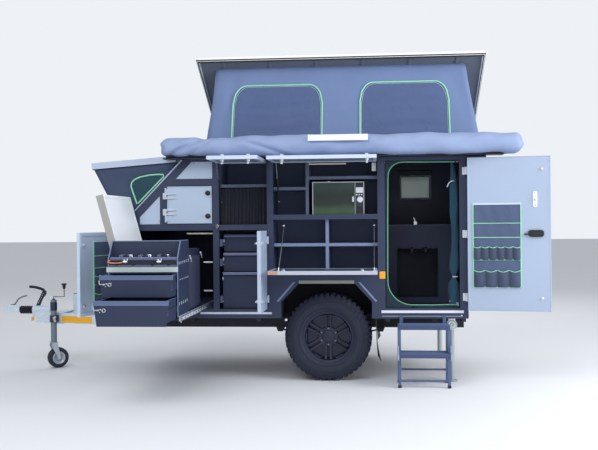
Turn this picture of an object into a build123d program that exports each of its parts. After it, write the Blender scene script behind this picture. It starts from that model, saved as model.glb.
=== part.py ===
from build123d import *
import math
import os

os.makedirs("parts", exist_ok=True)

# An off-road caravan, in millimetres. X runs back from the tow ball's centre and Y to the off side.
# The ball's centre is the origin, and heights are given above the ground.
BALL_HEIGHT = 568
AXLE_X = 3354
BODY_WIDTH = 1800
WALL = 40
TRACK_WIDTH = 1455
NEAR, FAR = -BODY_WIDTH / 2, BODY_WIDTH / 2
INNER = FAR - WALL

# The side profile of the body, as X and height.
FRONT_X = 1448
NOSE_LOW = 1450
NOSE_TOP_X, NOSE_TOP = 2020, 2040
REAR_LOW_X, REAR_X = 4619, 4784
RAKE_LOW, RAKE_TOP = 670, 1000
BODY_BOTTOM, BODY_TOP = 580, 2100
FLOOR = 30
PANEL = 20

# The openings of the near side: X from and to, height from and to.
LOWER_SILL, LOWER_HEAD = 665, 1390
UPPER_SILL, UPPER_HEAD = 1440, 2030
FRONT_OPENING = ((1514, 2304), (LOWER_SILL, LOWER_HEAD))
LOCKER_OPENING = ((1870, 2300), (1447, 1803))
CUPBOARD_X = (2359, 2805)
KITCHEN_X = (2862, 3814)
KITCHEN_UPPER_SILL = 1528
KITCHEN_LOWER_SILL, KITCHEN_LOWER_HEAD = 1020, 1482
DOOR_OPENING = ((3880, 4547), (672, 2008))
WINDOW = ((4067, 4392), (1710, 1953))
WINDOW_CORNER = 25

# The wheel arch, a trapezium about the axle.
ARCH_TOP, ARCH_SHOULDER = 896, 730
ARCH_TOP_X = (3089, 3604)
ARCH_LOW_X = (2929, 3758)
TYRE_ROOM = 65

# Wheels and axle.
TYRE_RADIUS, TYRE_WIDTH = 402, 265
RIM_RADIUS, RIM_WIDTH = 228, 215
WHEEL_Y = TRACK_WIDTH / 2
ARCH_DEPTH = INNER - (WHEEL_Y - TYRE_WIDTH / 2 - TYRE_ROOM)
HUB_BORE, STUB_RADIUS = 30.05, 30
SPOKES = 6
CHASSIS_LOW, CHASSIS_TOP = 450, 550
RAIL_Y, RAIL_WIDTH = 450, 50
SPRING_HALF = 480
SPRING_WIDTH = 60

# Hinges: pin, barrel, lugs and what lies between them.
PIN_RADIUS, BARREL_RADIUS = 4, 7
BARREL, LUG = 50, 8
PIN_CLEAR, END_GAP = 0.05, 0.5
HINGE_PROUD = 8
HINGE_EDGE = 14
HATCH = 30
HATCH_GAP = 6
STATION = BARREL + 2 * LUG + 2 * END_GAP

# What opens, as the angle away from shut.
DOOR_OPEN = 172
FRONT_HATCH_OPEN = 107
LID_OPEN = 105
ROOF_OPEN = 29.5
FLAP_OPEN = 41.7
TABLE_EDGE = 26

# The roof and the tent under it.
ROOF_X = (2112, 4817)
ROOF_REACH = 1804
ROOF_TOP, ROOF_GAP = 51, 6
ROOF_SKIN, ROOF_LIP = 20, 25
ROOF_HINGE_OUT = 10
TENT_INSET = 130
TENT_CLOTH = 6
TENT_X = (2210, 4760)

# The nose flap.
FLAP_LENGTH, FLAP_THICK = 810, 58
FLAP_CLEAR = 6

# The slide-out kitchen.
UNIT_X = (1628, 2209)
UNIT_FRONT, UNIT_BACK = NEAR - 1020, NEAR - 620
UNIT_LOW, UNIT_TOP = 672, 1063
SLIDE_RAIL = 20
SHEET = 12
STOVE = (1126, 1186)
SHIELD_FRONT, SHIELD_TOP, SHIELD_BACK = 1176, 1313, 115
RUNNER_GAP = 0.3
DRAWER_WALL = 4
FRIDGE_X, FRIDGE_Y, FRIDGE_H = (1680, 2180), (UNIT_BACK + 8, NEAR - 32), (700, 1230)
FRIDGE_WALL = 40
LID_THICK = 60

# The galley behind the near side's openings.
GALLEY_BACK = NEAR + 560
BULKHEAD_X = 2334

# The stand and the drawbar.
BRAKE_X = 274
DRAWBAR_FRONT, DRAWBAR_REAR = 290, FRONT_X
DRAWBAR_RAIL = 50
DRAWBAR_HALF = (38, RAIL_Y - 45)
JOCKEY_X, JOCKEY_Y = 528, -215
JOCKEY_TUBE, JOCKEY_WALL = 30, 3
JOCKEY_WHEEL_RADIUS, JOCKEY_WHEEL_WIDTH = 102.5, 85
JOCKEY_TURN = 35
STEADY_X, STEADY_Y = 4478, FAR - 100
STEADY_TUBE = 24
STEADY_PIVOT = 518


def side(y):
    """An upright plane along the caravan, drawn as X and height, whose front faces the near side."""
    return Plane(origin=(0, y, -BALL_HEIGHT), x_dir=(1, 0, 0), z_dir=(0, -1, 0))


def deck(height):
    """A level plane, drawn as X and Y."""
    return Plane(origin=(0, 0, height - BALL_HEIGHT))


def cross(x):
    """An upright plane across the caravan, drawn as Y and height."""
    return Plane(origin=(x, 0, -BALL_HEIGHT), x_dir=(0, 1, 0), z_dir=(1, 0, 0))


def hinge_plane(x, y, height, free_edge, axis):
    """A plane square to a hinge pin: its own X runs to the free edge, its own Y from outside to inside."""
    return Plane(origin=(x, y, height - BALL_HEIGHT), x_dir=free_edge, z_dir=axis)


def slab(plane, corners, thick, mode=Mode.ADD):
    """A plate with straight edges."""
    with BuildSketch(plane) as outline:
        with BuildLine():
            Polyline(*corners, close=True)
        make_face()
    extrude(outline.sketch, amount=thick, mode=mode)


def panel(plane, across, up, thick, mode=Mode.ADD, corner=0):
    """A rectangular plate between two pairs of coordinates on its plane."""
    with BuildSketch(plane) as outline:
        with Locations(((across[0] + across[1]) / 2, (up[0] + up[1]) / 2)):
            if corner:
                RectangleRounded(across[1] - across[0], up[1] - up[0], corner)
            else:
                Rectangle(across[1] - across[0], up[1] - up[0])
    extrude(outline.sketch, amount=thick, mode=mode)


def block(x, y, height, mode=Mode.ADD):
    """A square-edged piece between two X, two Y and two heights."""
    panel(deck(height[0]), x, y, height[1] - height[0], mode)


def rod(plane, at, radius, length, mode=Mode.ADD):
    """A round bar square to its plane."""
    with BuildSketch(plane) as outline:
        with Locations(at):
            Circle(radius)
    extrude(outline.sketch, amount=length, mode=mode)


def lugs(plane, foot, starts):
    """The fixed half of a hinge: at each start two lugs on a foot, and the pin through both."""
    for start in starts:
        for lug in (start, start + LUG + BARREL + 2 * END_GAP):
            rod(plane.offset(lug), (0, 0), BARREL_RADIUS, LUG)
            panel(plane.offset(lug), foot[0], foot[1], LUG)
        rod(plane.offset(start), (0, 0), PIN_RADIUS, STATION)


def barrels(plane, leaf, starts):
    """The moving half of a hinge: a barrel round the pin and the leaf that joins it to its panel."""
    for start in starts:
        inner = plane.offset(start + LUG + END_GAP)
        with BuildSketch(inner) as outline:
            Circle(BARREL_RADIUS)
            with BuildLine():
                Polyline(*leaf, close=True)
            make_face()
            Circle(PIN_RADIUS + PIN_CLEAR, mode=Mode.SUBTRACT)
        extrude(outline.sketch, amount=BARREL)


# The leaf of an inset panel: it leaves the pin clear of the wall and lies on the panel's outer face.
INSET_LEAF = [(0, 0), (HINGE_EDGE + 2, 0), (HINGE_EDGE + 2, 3), (45, 3), (45, HINGE_PROUD), (HINGE_EDGE, HINGE_PROUD),
              (HINGE_EDGE, 5), (0, 5)]


def hatch(plane, length, reach, edge, starts, recess=True):
    """A hatch with a folded rim: its outer skin is whole and its inner face is set back."""
    panel(plane.offset(HATCH_GAP), (edge, reach), (HINGE_PROUD, HINGE_PROUD + HATCH), length - 2 * HATCH_GAP)
    if recess:
        inner = (edge + 28, reach - 28)
        panel(plane.offset(HATCH_GAP + 28), inner, (HINGE_PROUD + HATCH - 8, HINGE_PROUD + HATCH),
              length - 2 * HATCH_GAP - 56, Mode.SUBTRACT)
    shift = edge - HINGE_EDGE
    leaf = [(e + shift if e else e, f) for e, f in INSET_LEAF]
    barrels(plane, leaf, starts)


def spread(length, count, margin=60):
    """Starts of hinge stations spread evenly along a panel."""
    room = length - 2 * margin - STATION
    return [margin + room * i / (count - 1) for i in range(count)]


INFILL_RECESS = 6

BODY_OUTLINE = [(FRONT_X, BODY_BOTTOM), (FRONT_X, NOSE_LOW), (NOSE_TOP_X, NOSE_TOP), (NOSE_TOP_X, BODY_TOP),
                (REAR_X, BODY_TOP), (REAR_X, RAKE_TOP), (REAR_LOW_X, RAKE_LOW), (REAR_LOW_X, BODY_BOTTOM)]
ARCH = [(ARCH_LOW_X[0], BODY_BOTTOM), (ARCH_LOW_X[0], ARCH_SHOULDER), (ARCH_TOP_X[0], ARCH_TOP),
        (ARCH_TOP_X[1], ARCH_TOP), (ARCH_LOW_X[1], ARCH_SHOULDER), (ARCH_LOW_X[1], BODY_BOTTOM)]

# The infill panels of the nose, beside and above the small locker.
TRIANGLE = [(1956, 1866), (2300, 1866), (2300, 2022), (2107, 2022)]
QUAD = [(1616, 1450), (1808, 1450), (1808, 1714), (1616, 1516)]

# Chassis: two long rails with a front and a rear beam, and outriggers across them under the floor.
with BuildPart() as chassis_rails:
    for y in (-RAIL_Y, RAIL_Y):
        block((FRONT_X + 60, REAR_LOW_X - 60), (y - RAIL_WIDTH / 2, y + RAIL_WIDTH / 2), (CHASSIS_LOW, CHASSIS_TOP))
    for x in (FRONT_X, REAR_LOW_X - 60):
        block((x, x + 60), (-RAIL_Y - RAIL_WIDTH / 2, RAIL_Y + RAIL_WIDTH / 2), (CHASSIS_LOW, CHASSIS_TOP))
chassis_rails.part.label = "chassis_rails"
export_step(chassis_rails.part, "parts/chassis_rails.step")

with BuildPart() as outriggers:
    for x in (FRONT_X + 20, 2080, 2700, 3880, 4300, REAR_LOW_X - 60):
        block((x, x + 40), (NEAR + 10, FAR - 10), (CHASSIS_TOP, BODY_BOTTOM))
outriggers.part.label = "outriggers"
export_step(outriggers.part, "parts/outriggers.step")

# Drawbar: two box rails that meet behind the coupling, with a plate over the apex.
with BuildPart() as drawbar:
    for sign in (-1, 1):
        inner = [(DRAWBAR_FRONT, sign * DRAWBAR_HALF[0]), (DRAWBAR_REAR, sign * DRAWBAR_HALF[1])]
        outer = [(x, y + sign * DRAWBAR_RAIL) for x, y in inner[::-1]]
        slab(deck(CHASSIS_LOW), inner + outer, CHASSIS_TOP - CHASSIS_LOW)
    slab(deck(CHASSIS_TOP), [(DRAWBAR_FRONT, -88), (DRAWBAR_FRONT, 88), (620, 190), (620, -190)], 6)
    slab(deck(CHASSIS_LOW - 6), [(DRAWBAR_FRONT, -88), (DRAWBAR_FRONT, 88), (620, 190), (620, -190)], 6)
    block((660, 710), (-12, 12), (540, 734))
    block((620, 720), (-155, 155), (500, 540))
drawbar.part.label = "drawbar"
export_step(drawbar.part, "parts/drawbar.step")

# Coupling: the ball socket, its shaft and the cast bearing housing bolted over the drawbar's apex.
SHAFT_RADIUS = 26
SOCKET_RADIUS = 25.5
with BuildPart() as coupling:
    with BuildSketch(Plane.XZ) as head:
        with BuildLine():
            Polyline((-56, -24), (-50, 30), (-20, 52), (40, 50), (90, 36), (90, -24), (30, -24), close=True)
        make_face()
    extrude(head.sketch, amount=38, both=True)
    fillet(coupling.edges().filter_by(Axis.Y), radius=8)
    rod(Plane.XY.offset(-30), (0, 0), SOCKET_RADIUS, 30, Mode.SUBTRACT)
    with Locations((0, 0, 0)):
        Sphere(SOCKET_RADIUS, mode=Mode.SUBTRACT)
    rod(Plane.YZ.offset(90), (0, 0), SHAFT_RADIUS, 288 - 90)
coupling.part.label = "coupling"
export_step(coupling.part, "parts/coupling.step")

with BuildPart() as bearing_housing:
    with BuildSketch(cross(232)) as outline:
        with Locations((0, BALL_HEIGHT)):
            Circle(44)
        with Locations((0, CHASSIS_TOP - 20)):
            Rectangle(76, 60)
    extrude(outline.sketch, amount=58)
    with BuildSketch(cross(290)) as rear:
        with Locations((0, BALL_HEIGHT)):
            Circle(44)
        with Locations((0, CHASSIS_TOP + 12)):
            Rectangle(150, 12)
    extrude(rear.sketch, amount=150)
    block((290, 440), (-75, 75), (CHASSIS_TOP - 20, CHASSIS_TOP + 6), Mode.SUBTRACT)
    rod(Plane.YZ.offset(200), (0, 0), SHAFT_RADIUS + 0.05, 90, Mode.SUBTRACT)
bearing_housing.part.label = "bearing_housing"
export_step(bearing_housing.part, "parts/bearing_housing.step")

# Gaiter: rubber bellows round the shaft.
FOLDS = 7
with BuildPart() as gaiter:
    with BuildSketch(Plane.XZ) as profile:
        with BuildLine():
            pitch = (231 - 91) / FOLDS
            ridge = [(91, SHAFT_RADIUS + 1)]
            for i in range(FOLDS):
                ridge += [(91 + pitch * i, 34), (91 + pitch * (i + 0.5), 43)]
            ridge += [(231, 34), (231, SHAFT_RADIUS + 1)]
            Polyline(*ridge, close=True)
        make_face()
    revolve(profile.sketch, axis=Axis.X)
gaiter.part.label = "gaiter"
export_step(gaiter.part, "parts/gaiter.step")

with BuildPart() as handbrake:
    slab(side(6), [(BRAKE_X, 612), (BRAKE_X + 60, 612), (BRAKE_X + 150, 720), (BRAKE_X + 130, 730),
                   (BRAKE_X + 30, 640), (BRAKE_X, 640)], 12)
    with BuildSketch(Plane(origin=(BRAKE_X + 140, 0, 725 - BALL_HEIGHT), x_dir=(0, 1, 0), z_dir=(0.5, 0, 0.87))) as grip:
        Circle(16)
    extrude(grip.sketch, amount=120)
handbrake.part.label = "handbrake"
export_step(handbrake.part, "parts/handbrake.step")

# Jockey wheel: an outer tube clamped to the near rail, an inner tube that slides, a fork that swivels.
def drawbar_outer(x):
    """How far the drawbar rail's outer face is from the middle at an X."""
    share = (x - DRAWBAR_FRONT) / (DRAWBAR_REAR - DRAWBAR_FRONT)
    return DRAWBAR_HALF[0] + DRAWBAR_RAIL + (DRAWBAR_HALF[1] - DRAWBAR_HALF[0]) * share


with BuildPart() as jockey_clamp:
    rod(deck(440), (JOCKEY_X, JOCKEY_Y), JOCKEY_TUBE, 520)
    rod(deck(440), (JOCKEY_X, JOCKEY_Y), JOCKEY_TUBE - JOCKEY_WALL, 520, Mode.SUBTRACT)
    rod(deck(960), (JOCKEY_X, JOCKEY_Y), JOCKEY_TUBE + 3, 30)
    with BuildSketch(deck(CHASSIS_LOW + 15)) as clamp:
        with Locations((JOCKEY_X, JOCKEY_Y)):
            Circle(JOCKEY_TUBE + 10)
            Circle(JOCKEY_TUBE - 1, mode=Mode.SUBTRACT)
    extrude(clamp.sketch, amount=70)
    near = -drawbar_outer(JOCKEY_X - 40)
    far_end = -drawbar_outer(JOCKEY_X + 40)
    slab(deck(CHASSIS_LOW + 15), [(JOCKEY_X - 40, near), (JOCKEY_X + 40, far_end), (JOCKEY_X + 30, JOCKEY_Y + 28.5),
                                  (JOCKEY_X - 30, JOCKEY_Y + 28.5)], 70)
    rod(side(JOCKEY_Y - JOCKEY_TUBE), (JOCKEY_X, 976), 7, 90)
    rod(deck(976), (JOCKEY_X, JOCKEY_Y - JOCKEY_TUBE - 90), 13, 70)
jockey_clamp.part.label = "jockey_clamp"
export_step(jockey_clamp.part, "parts/jockey_clamp.step")

STEM_RADIUS = JOCKEY_TUBE - JOCKEY_WALL - RUNNER_GAP
with BuildPart() as jockey_stem:
    rod(deck(262), (JOCKEY_X, JOCKEY_Y), STEM_RADIUS, 460)
jockey_stem.part.label = "jockey_stem"
export_step(jockey_stem.part, "parts/jockey_stem.step")

JOCKEY_FORWARD = (math.cos(math.radians(JOCKEY_TURN)), math.sin(math.radians(JOCKEY_TURN)), 0)
JOCKEY_AXLE = (-math.sin(math.radians(JOCKEY_TURN)), math.cos(math.radians(JOCKEY_TURN)), 0)


def jockey_side(out):
    """The plane of the small wheel, set out along its axle, drawn as run and height; it faces back along the axle."""
    origin = (JOCKEY_X + JOCKEY_AXLE[0] * out, JOCKEY_Y + JOCKEY_AXLE[1] * out, -BALL_HEIGHT)
    return Plane(origin=origin, x_dir=JOCKEY_FORWARD, z_dir=(-JOCKEY_AXLE[0], -JOCKEY_AXLE[1], 0))


# The wheel trails 40 mm behind the fork's stem, so the fork swivels as a castor.
TRAIL = 40
with BuildPart() as jockey_fork:
    for out in (-JOCKEY_WHEEL_WIDTH / 2 - 7, JOCKEY_WHEEL_WIDTH / 2 + 13):
        with BuildSketch(jockey_side(out)) as cheek:
            with BuildLine():
                Polyline((-30, 255), (-16, 255), (30, 255), (30, 215), (TRAIL + 16, 110), (TRAIL + 16, 90),
                         (TRAIL - 16, 90), (TRAIL - 16, 110), (-30, 215), close=True)
            make_face()
        extrude(cheek.sketch, amount=6)
    half = JOCKEY_WHEEL_WIDTH / 2 + 13
    with BuildSketch(jockey_side(half)) as bridge:
        with Locations((0, 258.5)):
            Rectangle(60, 7)
    extrude(bridge.sketch, amount=2 * half)
    rod(jockey_side(half + 8), (TRAIL, JOCKEY_WHEEL_RADIUS), 8, 2 * half + 16)
jockey_fork.part.label = "jockey_fork"
export_step(jockey_fork.part, "parts/jockey_fork.step")

with BuildPart() as jockey_wheel:
    half = JOCKEY_WHEEL_WIDTH / 2
    rod(jockey_side(half), (TRAIL, JOCKEY_WHEEL_RADIUS), JOCKEY_WHEEL_RADIUS, 2 * half)
    fillet(jockey_wheel.edges(), radius=16)
    rod(jockey_side(half), (TRAIL, JOCKEY_WHEEL_RADIUS), 8.06, 2 * half, Mode.SUBTRACT)
jockey_wheel.part.label = "jockey_wheel"
export_step(jockey_wheel.part, "parts/jockey_wheel.step")

# Axle: a square beam with drum brakes and stub axles, on leaf springs hung under the chassis rails.
HUB_FACE = 40
BEAM, DRUM_RADIUS = 50, 130
with BuildPart() as axle:
    block((AXLE_X - BEAM / 2, AXLE_X + BEAM / 2), (-WHEEL_Y + 130, WHEEL_Y - 130),
          (TYRE_RADIUS - BEAM / 2, TYRE_RADIUS + BEAM / 2))
    for start, length in ((-WHEEL_Y + 130, 65), (WHEEL_Y - 65, 65)):
        rod(side(start), (AXLE_X, TYRE_RADIUS), DRUM_RADIUS, length)
    for y in (-WHEEL_Y + 130, WHEEL_Y + HUB_FACE + 25):
        rod(side(y), (AXLE_X, TYRE_RADIUS), STUB_RADIUS, 130 + HUB_FACE + 25)
axle.part.label = "axle"
export_step(axle.part, "parts/axle.step")

with BuildPart() as leaf_springs:
    for y in (-RAIL_Y, RAIL_Y):
        near_face = y + SPRING_WIDTH / 2
        for i, half_span in enumerate((SPRING_HALF, 360, 240, 130)):
            low = TYRE_RADIUS + BEAM / 2
            rise = 60 * (half_span / SPRING_HALF) ** 2
            base = low - BEAM - 10 * (i + 1)
            with BuildSketch(side(near_face)) as leaf:
                with BuildLine():
                    left, right = AXLE_X - half_span, AXLE_X + half_span
                    ThreePointArc((left, base + rise), (AXLE_X, base), (right, base + rise))
                    Line((right, base + rise), (right, base + rise + 9))
                    ThreePointArc((right, base + rise + 9), (AXLE_X, base + 9), (left, base + rise + 9))
                    Line((left, base + rise + 9), (left, base + rise))
                make_face()
            extrude(leaf.sketch, amount=SPRING_WIDTH)
        eye = TYRE_RADIUS - BEAM / 2 - 10 + 60 + 5
        for x in (AXLE_X - SPRING_HALF, AXLE_X + SPRING_HALF):
            rod(side(near_face), (x, eye), 18, SPRING_WIDTH)
            for plate in (near_face + 8, near_face - SPRING_WIDTH):
                slab(side(plate), [(x - 24, eye - 22), (x + 24, eye - 22), (x + 40, CHASSIS_LOW),
                                   (x - 40, CHASSIS_LOW)], 8)
        block((AXLE_X - 60, AXLE_X + 60), (y - SPRING_WIDTH / 2, y + SPRING_WIDTH / 2),
              (TYRE_RADIUS - BEAM / 2 - 62, TYRE_RADIUS - BEAM / 2 - 40))
leaf_springs.part.label = "leaf_springs"
export_step(leaf_springs.part, "parts/leaf_springs.step")

# Wheels: each tyre and each rim is drawn about its own middle plane, and the rim's face looks outward.
with BuildPart() as tyre_form:
    with BuildSketch(Plane.XY) as section:
        with BuildLine():
            half = TYRE_WIDTH / 2
            Line((-RIM_WIDTH / 2, RIM_RADIUS), (-half + 14, RIM_RADIUS + 12))
            ThreePointArc((-half + 14, RIM_RADIUS + 12), (-half, RIM_RADIUS + 80), (-half + 10, TYRE_RADIUS - 34))
            Line((-half + 10, TYRE_RADIUS - 34), (-half + 32, TYRE_RADIUS - 4))
            ThreePointArc((-half + 32, TYRE_RADIUS - 4), (0, TYRE_RADIUS), (half - 32, TYRE_RADIUS - 4))
            Line((half - 32, TYRE_RADIUS - 4), (half - 10, TYRE_RADIUS - 34))
            ThreePointArc((half - 10, TYRE_RADIUS - 34), (half, RIM_RADIUS + 80), (half - 14, RIM_RADIUS + 12))
            Line((half - 14, RIM_RADIUS + 12), (RIM_WIDTH / 2, RIM_RADIUS))
            Line((RIM_WIDTH / 2, RIM_RADIUS), (-RIM_WIDTH / 2, RIM_RADIUS))
        make_face()
    revolve(section.sketch, axis=Axis.X)

with BuildPart() as rim_form:
    half = RIM_WIDTH / 2
    with BuildSketch(Plane.XY) as barrel:
        with BuildLine():
            Polyline((-half, RIM_RADIUS), (half, RIM_RADIUS), (half, RIM_RADIUS - 14), (half - 16, RIM_RADIUS - 20),
                     (half - 60, RIM_RADIUS - 34), (-half + 12, RIM_RADIUS - 30), (-half, RIM_RADIUS - 14), close=True)
        make_face()
    revolve(barrel.sketch, axis=Axis.X)
    with BuildSketch(Plane.YZ.offset(HUB_FACE - 18)) as centre:
        Circle(92)
    extrude(centre.sketch, amount=26)
    with BuildSketch(Plane.YZ.offset(HUB_FACE - 8)) as spokes:
        with PolarLocations(0, SPOKES):
            with Locations((150, 20)):
                Rectangle(130, 20)
            with Locations((150, -20)):
                Rectangle(130, 20)
    extrude(spokes.sketch, amount=30)
    with BuildSketch(Plane.YZ.offset(HUB_FACE - 30)) as bore:
        Circle(HUB_BORE)
    extrude(bore.sketch, amount=60, mode=Mode.SUBTRACT)
    with BuildSketch(Plane.YZ.offset(HUB_FACE + 8)) as pocket:
        with PolarLocations(69.9, 6):
            Circle(14)
    extrude(pocket.sketch, amount=-12, mode=Mode.SUBTRACT)

WHEEL_PLACE = {
    "near": Location(Plane(origin=(AXLE_X, -WHEEL_Y, TYRE_RADIUS - BALL_HEIGHT), x_dir=(0, -1, 0), z_dir=(0, 0, 1))),
    "far": Location(Plane(origin=(AXLE_X, WHEEL_Y, TYRE_RADIUS - BALL_HEIGHT), x_dir=(0, 1, 0), z_dir=(0, 0, 1))),
}
for name, place in WHEEL_PLACE.items():
    with BuildPart() as tyre:
        add(place * tyre_form.part)
    tyre.part.label = f"{name}_tyre"
    export_step(tyre.part, f"parts/{name}_tyre.step")
    with BuildPart() as rim:
        add(place * rim_form.part)
    rim.part.label = f"{name}_rim"
    export_step(rim.part, f"parts/{name}_rim.step")

# Floor, cut out round the wheels.
with BuildPart() as floor:
    block((FRONT_X + PANEL, REAR_LOW_X - PANEL), (-INNER, INNER), (BODY_BOTTOM, BODY_BOTTOM + FLOOR))
    for y in ((-INNER, -INNER + ARCH_DEPTH), (INNER - ARCH_DEPTH, INNER)):
        block(ARCH_LOW_X, y, (BODY_BOTTOM, BODY_BOTTOM + FLOOR), Mode.SUBTRACT)
floor.part.label = "floor"
export_step(floor.part, "parts/floor.step")

# Near side: one frame of posts and rails, with every opening cut through it.
with BuildPart() as near_wall:
    slab(side(NEAR + WALL), BODY_OUTLINE, WALL)
    slab(side(NEAR + WALL), ARCH, WALL, Mode.SUBTRACT)
    slab(side(NEAR + WALL), TRIANGLE, WALL, Mode.SUBTRACT)
    slab(side(NEAR + WALL), QUAD, WALL, Mode.SUBTRACT)
    for across, up in (FRONT_OPENING, LOCKER_OPENING, (CUPBOARD_X, (LOWER_SILL, LOWER_HEAD)),
                       (CUPBOARD_X, (UPPER_SILL, UPPER_HEAD)), (KITCHEN_X, (KITCHEN_UPPER_SILL, UPPER_HEAD)),
                       (KITCHEN_X, (KITCHEN_LOWER_SILL, KITCHEN_LOWER_HEAD)), DOOR_OPENING):
        panel(side(NEAR + WALL), across, up, WALL, Mode.SUBTRACT)
near_wall.part.label = "near_wall"
export_step(near_wall.part, "parts/near_wall.step")

with BuildPart() as near_panels:
    for corners in (TRIANGLE, QUAD):
        slab(side(NEAR + WALL), corners, WALL - INFILL_RECESS)
near_panels.part.label = "near_panels"
export_step(near_panels.part, "parts/near_panels.step")

with BuildPart() as far_wall:
    slab(side(FAR), BODY_OUTLINE, WALL)
    slab(side(FAR), ARCH, WALL, Mode.SUBTRACT)
    panel(side(FAR), WINDOW[0], WINDOW[1], WALL, Mode.SUBTRACT, WINDOW_CORNER)
far_wall.part.label = "far_wall"
export_step(far_wall.part, "parts/far_wall.step")

with BuildPart() as front_wall:
    block((FRONT_X, FRONT_X + PANEL), (-INNER, INNER), (BODY_BOTTOM, NOSE_LOW))
front_wall.part.label = "front_wall"
export_step(front_wall.part, "parts/front_wall.step")

with BuildPart() as rear_wall:
    slab(side(INNER), [(REAR_LOW_X - PANEL, BODY_BOTTOM), (REAR_LOW_X, BODY_BOTTOM), (REAR_LOW_X, RAKE_LOW),
                       (REAR_X, RAKE_TOP), (REAR_X, BODY_TOP - 40), (REAR_X - PANEL, BODY_TOP - 40),
                       (REAR_X - PANEL, RAKE_TOP + 6), (REAR_LOW_X - PANEL, RAKE_LOW + 6)], 2 * INNER)
rear_wall.part.label = "rear_wall"
export_step(rear_wall.part, "parts/rear_wall.step")

# Roof frame: the deck round the roof opening.
ROOF_HOLE = ((2190, 4700), (NEAR + 120, FAR - 120))
with BuildPart() as roof_frame:
    block((NOSE_TOP_X, REAR_X), (-INNER, INNER), (BODY_TOP - 40, BODY_TOP))
    block(ROOF_HOLE[0], ROOF_HOLE[1], (BODY_TOP - 40, BODY_TOP), Mode.SUBTRACT)
roof_frame.part.label = "roof_frame"
export_step(roof_frame.part, "parts/roof_frame.step")

# Wheel boxes: folded sheet tunnels that close the arches inside.
with BuildPart() as wheel_boxes:
    grow = 4
    inner = [(ARCH_LOW_X[0] + grow, BODY_BOTTOM), (ARCH_LOW_X[0] + grow, ARCH_SHOULDER - 2),
             (ARCH_TOP_X[0] + 2, ARCH_TOP - grow), (ARCH_TOP_X[1] - 2, ARCH_TOP - grow),
             (ARCH_LOW_X[1] - grow, ARCH_SHOULDER - 2), (ARCH_LOW_X[1] - grow, BODY_BOTTOM)]
    for start in (-INNER + ARCH_DEPTH, INNER):
        slab(side(start), ARCH, ARCH_DEPTH)
    slab(side(-INNER + ARCH_DEPTH - grow), inner, ARCH_DEPTH, Mode.SUBTRACT)
    slab(side(INNER + 1), inner, ARCH_DEPTH - grow + 1, Mode.SUBTRACT)
wheel_boxes.part.label = "wheel_boxes"
export_step(wheel_boxes.part, "parts/wheel_boxes.step")

# Bed deck over the front compartment, and the bulkhead behind that compartment.
BED = (1400, 1430)
with BuildPart() as bed_deck:
    block((FRONT_X + PANEL, BULKHEAD_X), (-INNER, INNER), BED)
    block((BULKHEAD_X - PANEL, BULKHEAD_X), (-INNER, INNER), (BODY_BOTTOM + FLOOR, BED[0]))
    block((FRONT_X + PANEL, BULKHEAD_X), (-INNER, INNER), (LOWER_SILL - 20, LOWER_SILL))
bed_deck.part.label = "bed_deck"
export_step(bed_deck.part, "parts/bed_deck.step")

# The cupboard's drawers: name, heights, and where the front stands when it is home.
CUPBOARD_DRAWERS = (
    ("top", (1190, 1346), NEAR + 110),
    ("middle", (1008, 1177), NEAR + 75),
    ("bottom", (668, 999), NEAR + 38),
)
CUP_DRAWER_X = (2385, 2750)
SLIDE_H = 45

# Galley: panels behind the cupboard and the kitchen, with their shelves and the drawers' runner blocks.
FLOOR_TOP = BODY_BOTTOM + FLOOR
GALLEY_HEAD = BODY_TOP - 40
GALLEY_END = 3869
CUPBOARD_SIDE = 2822
SHELF = 25
GALLEY_FRONT = NEAR + WALL + 12
with BuildPart() as galley:
    block((BULKHEAD_X, GALLEY_END), (GALLEY_BACK - PANEL, GALLEY_BACK), (ARCH_TOP, GALLEY_HEAD))
    block((BULKHEAD_X, 2900), (GALLEY_BACK - PANEL, GALLEY_BACK), (FLOOR_TOP, ARCH_TOP))
    block((CUPBOARD_SIDE, CUPBOARD_SIDE + PANEL), (NEAR + WALL, GALLEY_BACK - PANEL), (FLOOR_TOP, GALLEY_HEAD))
    block((GALLEY_END - PANEL, GALLEY_END), (NEAR + WALL, GALLEY_BACK - PANEL), (FLOOR_TOP, GALLEY_HEAD))
    block((BULKHEAD_X, CUPBOARD_SIDE), (NEAR + WALL, GALLEY_BACK - PANEL), (1400, 1425))
    block((BULKHEAD_X, BULKHEAD_X + PANEL), (NEAR + WALL, GALLEY_BACK - PANEL), (1425, GALLEY_HEAD))
    block((BULKHEAD_X + PANEL, CUPBOARD_SIDE), (GALLEY_FRONT, GALLEY_BACK - PANEL), (1785, 1785 + SHELF))
    inside = (CUPBOARD_SIDE + PANEL, GALLEY_END - PANEL)
    block(inside, (NEAR + WALL, GALLEY_BACK - PANEL), (980, 1005))
    block(inside, (NEAR + WALL, GALLEY_BACK - PANEL), (1495, 1520))
    block(inside, (GALLEY_FRONT, GALLEY_BACK - PANEL), (1238, 1238 + SHELF))
    block((3160, 3185), (GALLEY_FRONT, GALLEY_BACK - PANEL), (1520, GALLEY_HEAD))
    block((3340, 3365), (GALLEY_FRONT, GALLEY_BACK - PANEL), (1005, 1495))
    block((CUPBOARD_SIDE + PANEL, 3160), (GALLEY_FRONT, GALLEY_BACK - PANEL), (1755, 1755 + SHELF))
    block((3185, GALLEY_END - PANEL), (GALLEY_FRONT, GALLEY_BACK - PANEL), (1850, 1850 + SHELF))
    for name, height, front in CUPBOARD_DRAWERS:
        level = (height[0] + 50, height[0] + 70 + SLIDE_H)
        block((BULKHEAD_X, CUP_DRAWER_X[0] - 5 - RUNNER_GAP), (NEAR + WALL + 8, GALLEY_BACK - PANEL), level)
        block((CUP_DRAWER_X[1] + 5 + RUNNER_GAP, CUPBOARD_SIDE), (NEAR + WALL + 8, GALLEY_BACK - PANEL), level)
galley.part.label = "galley"
export_step(galley.part, "parts/galley.step")

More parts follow.
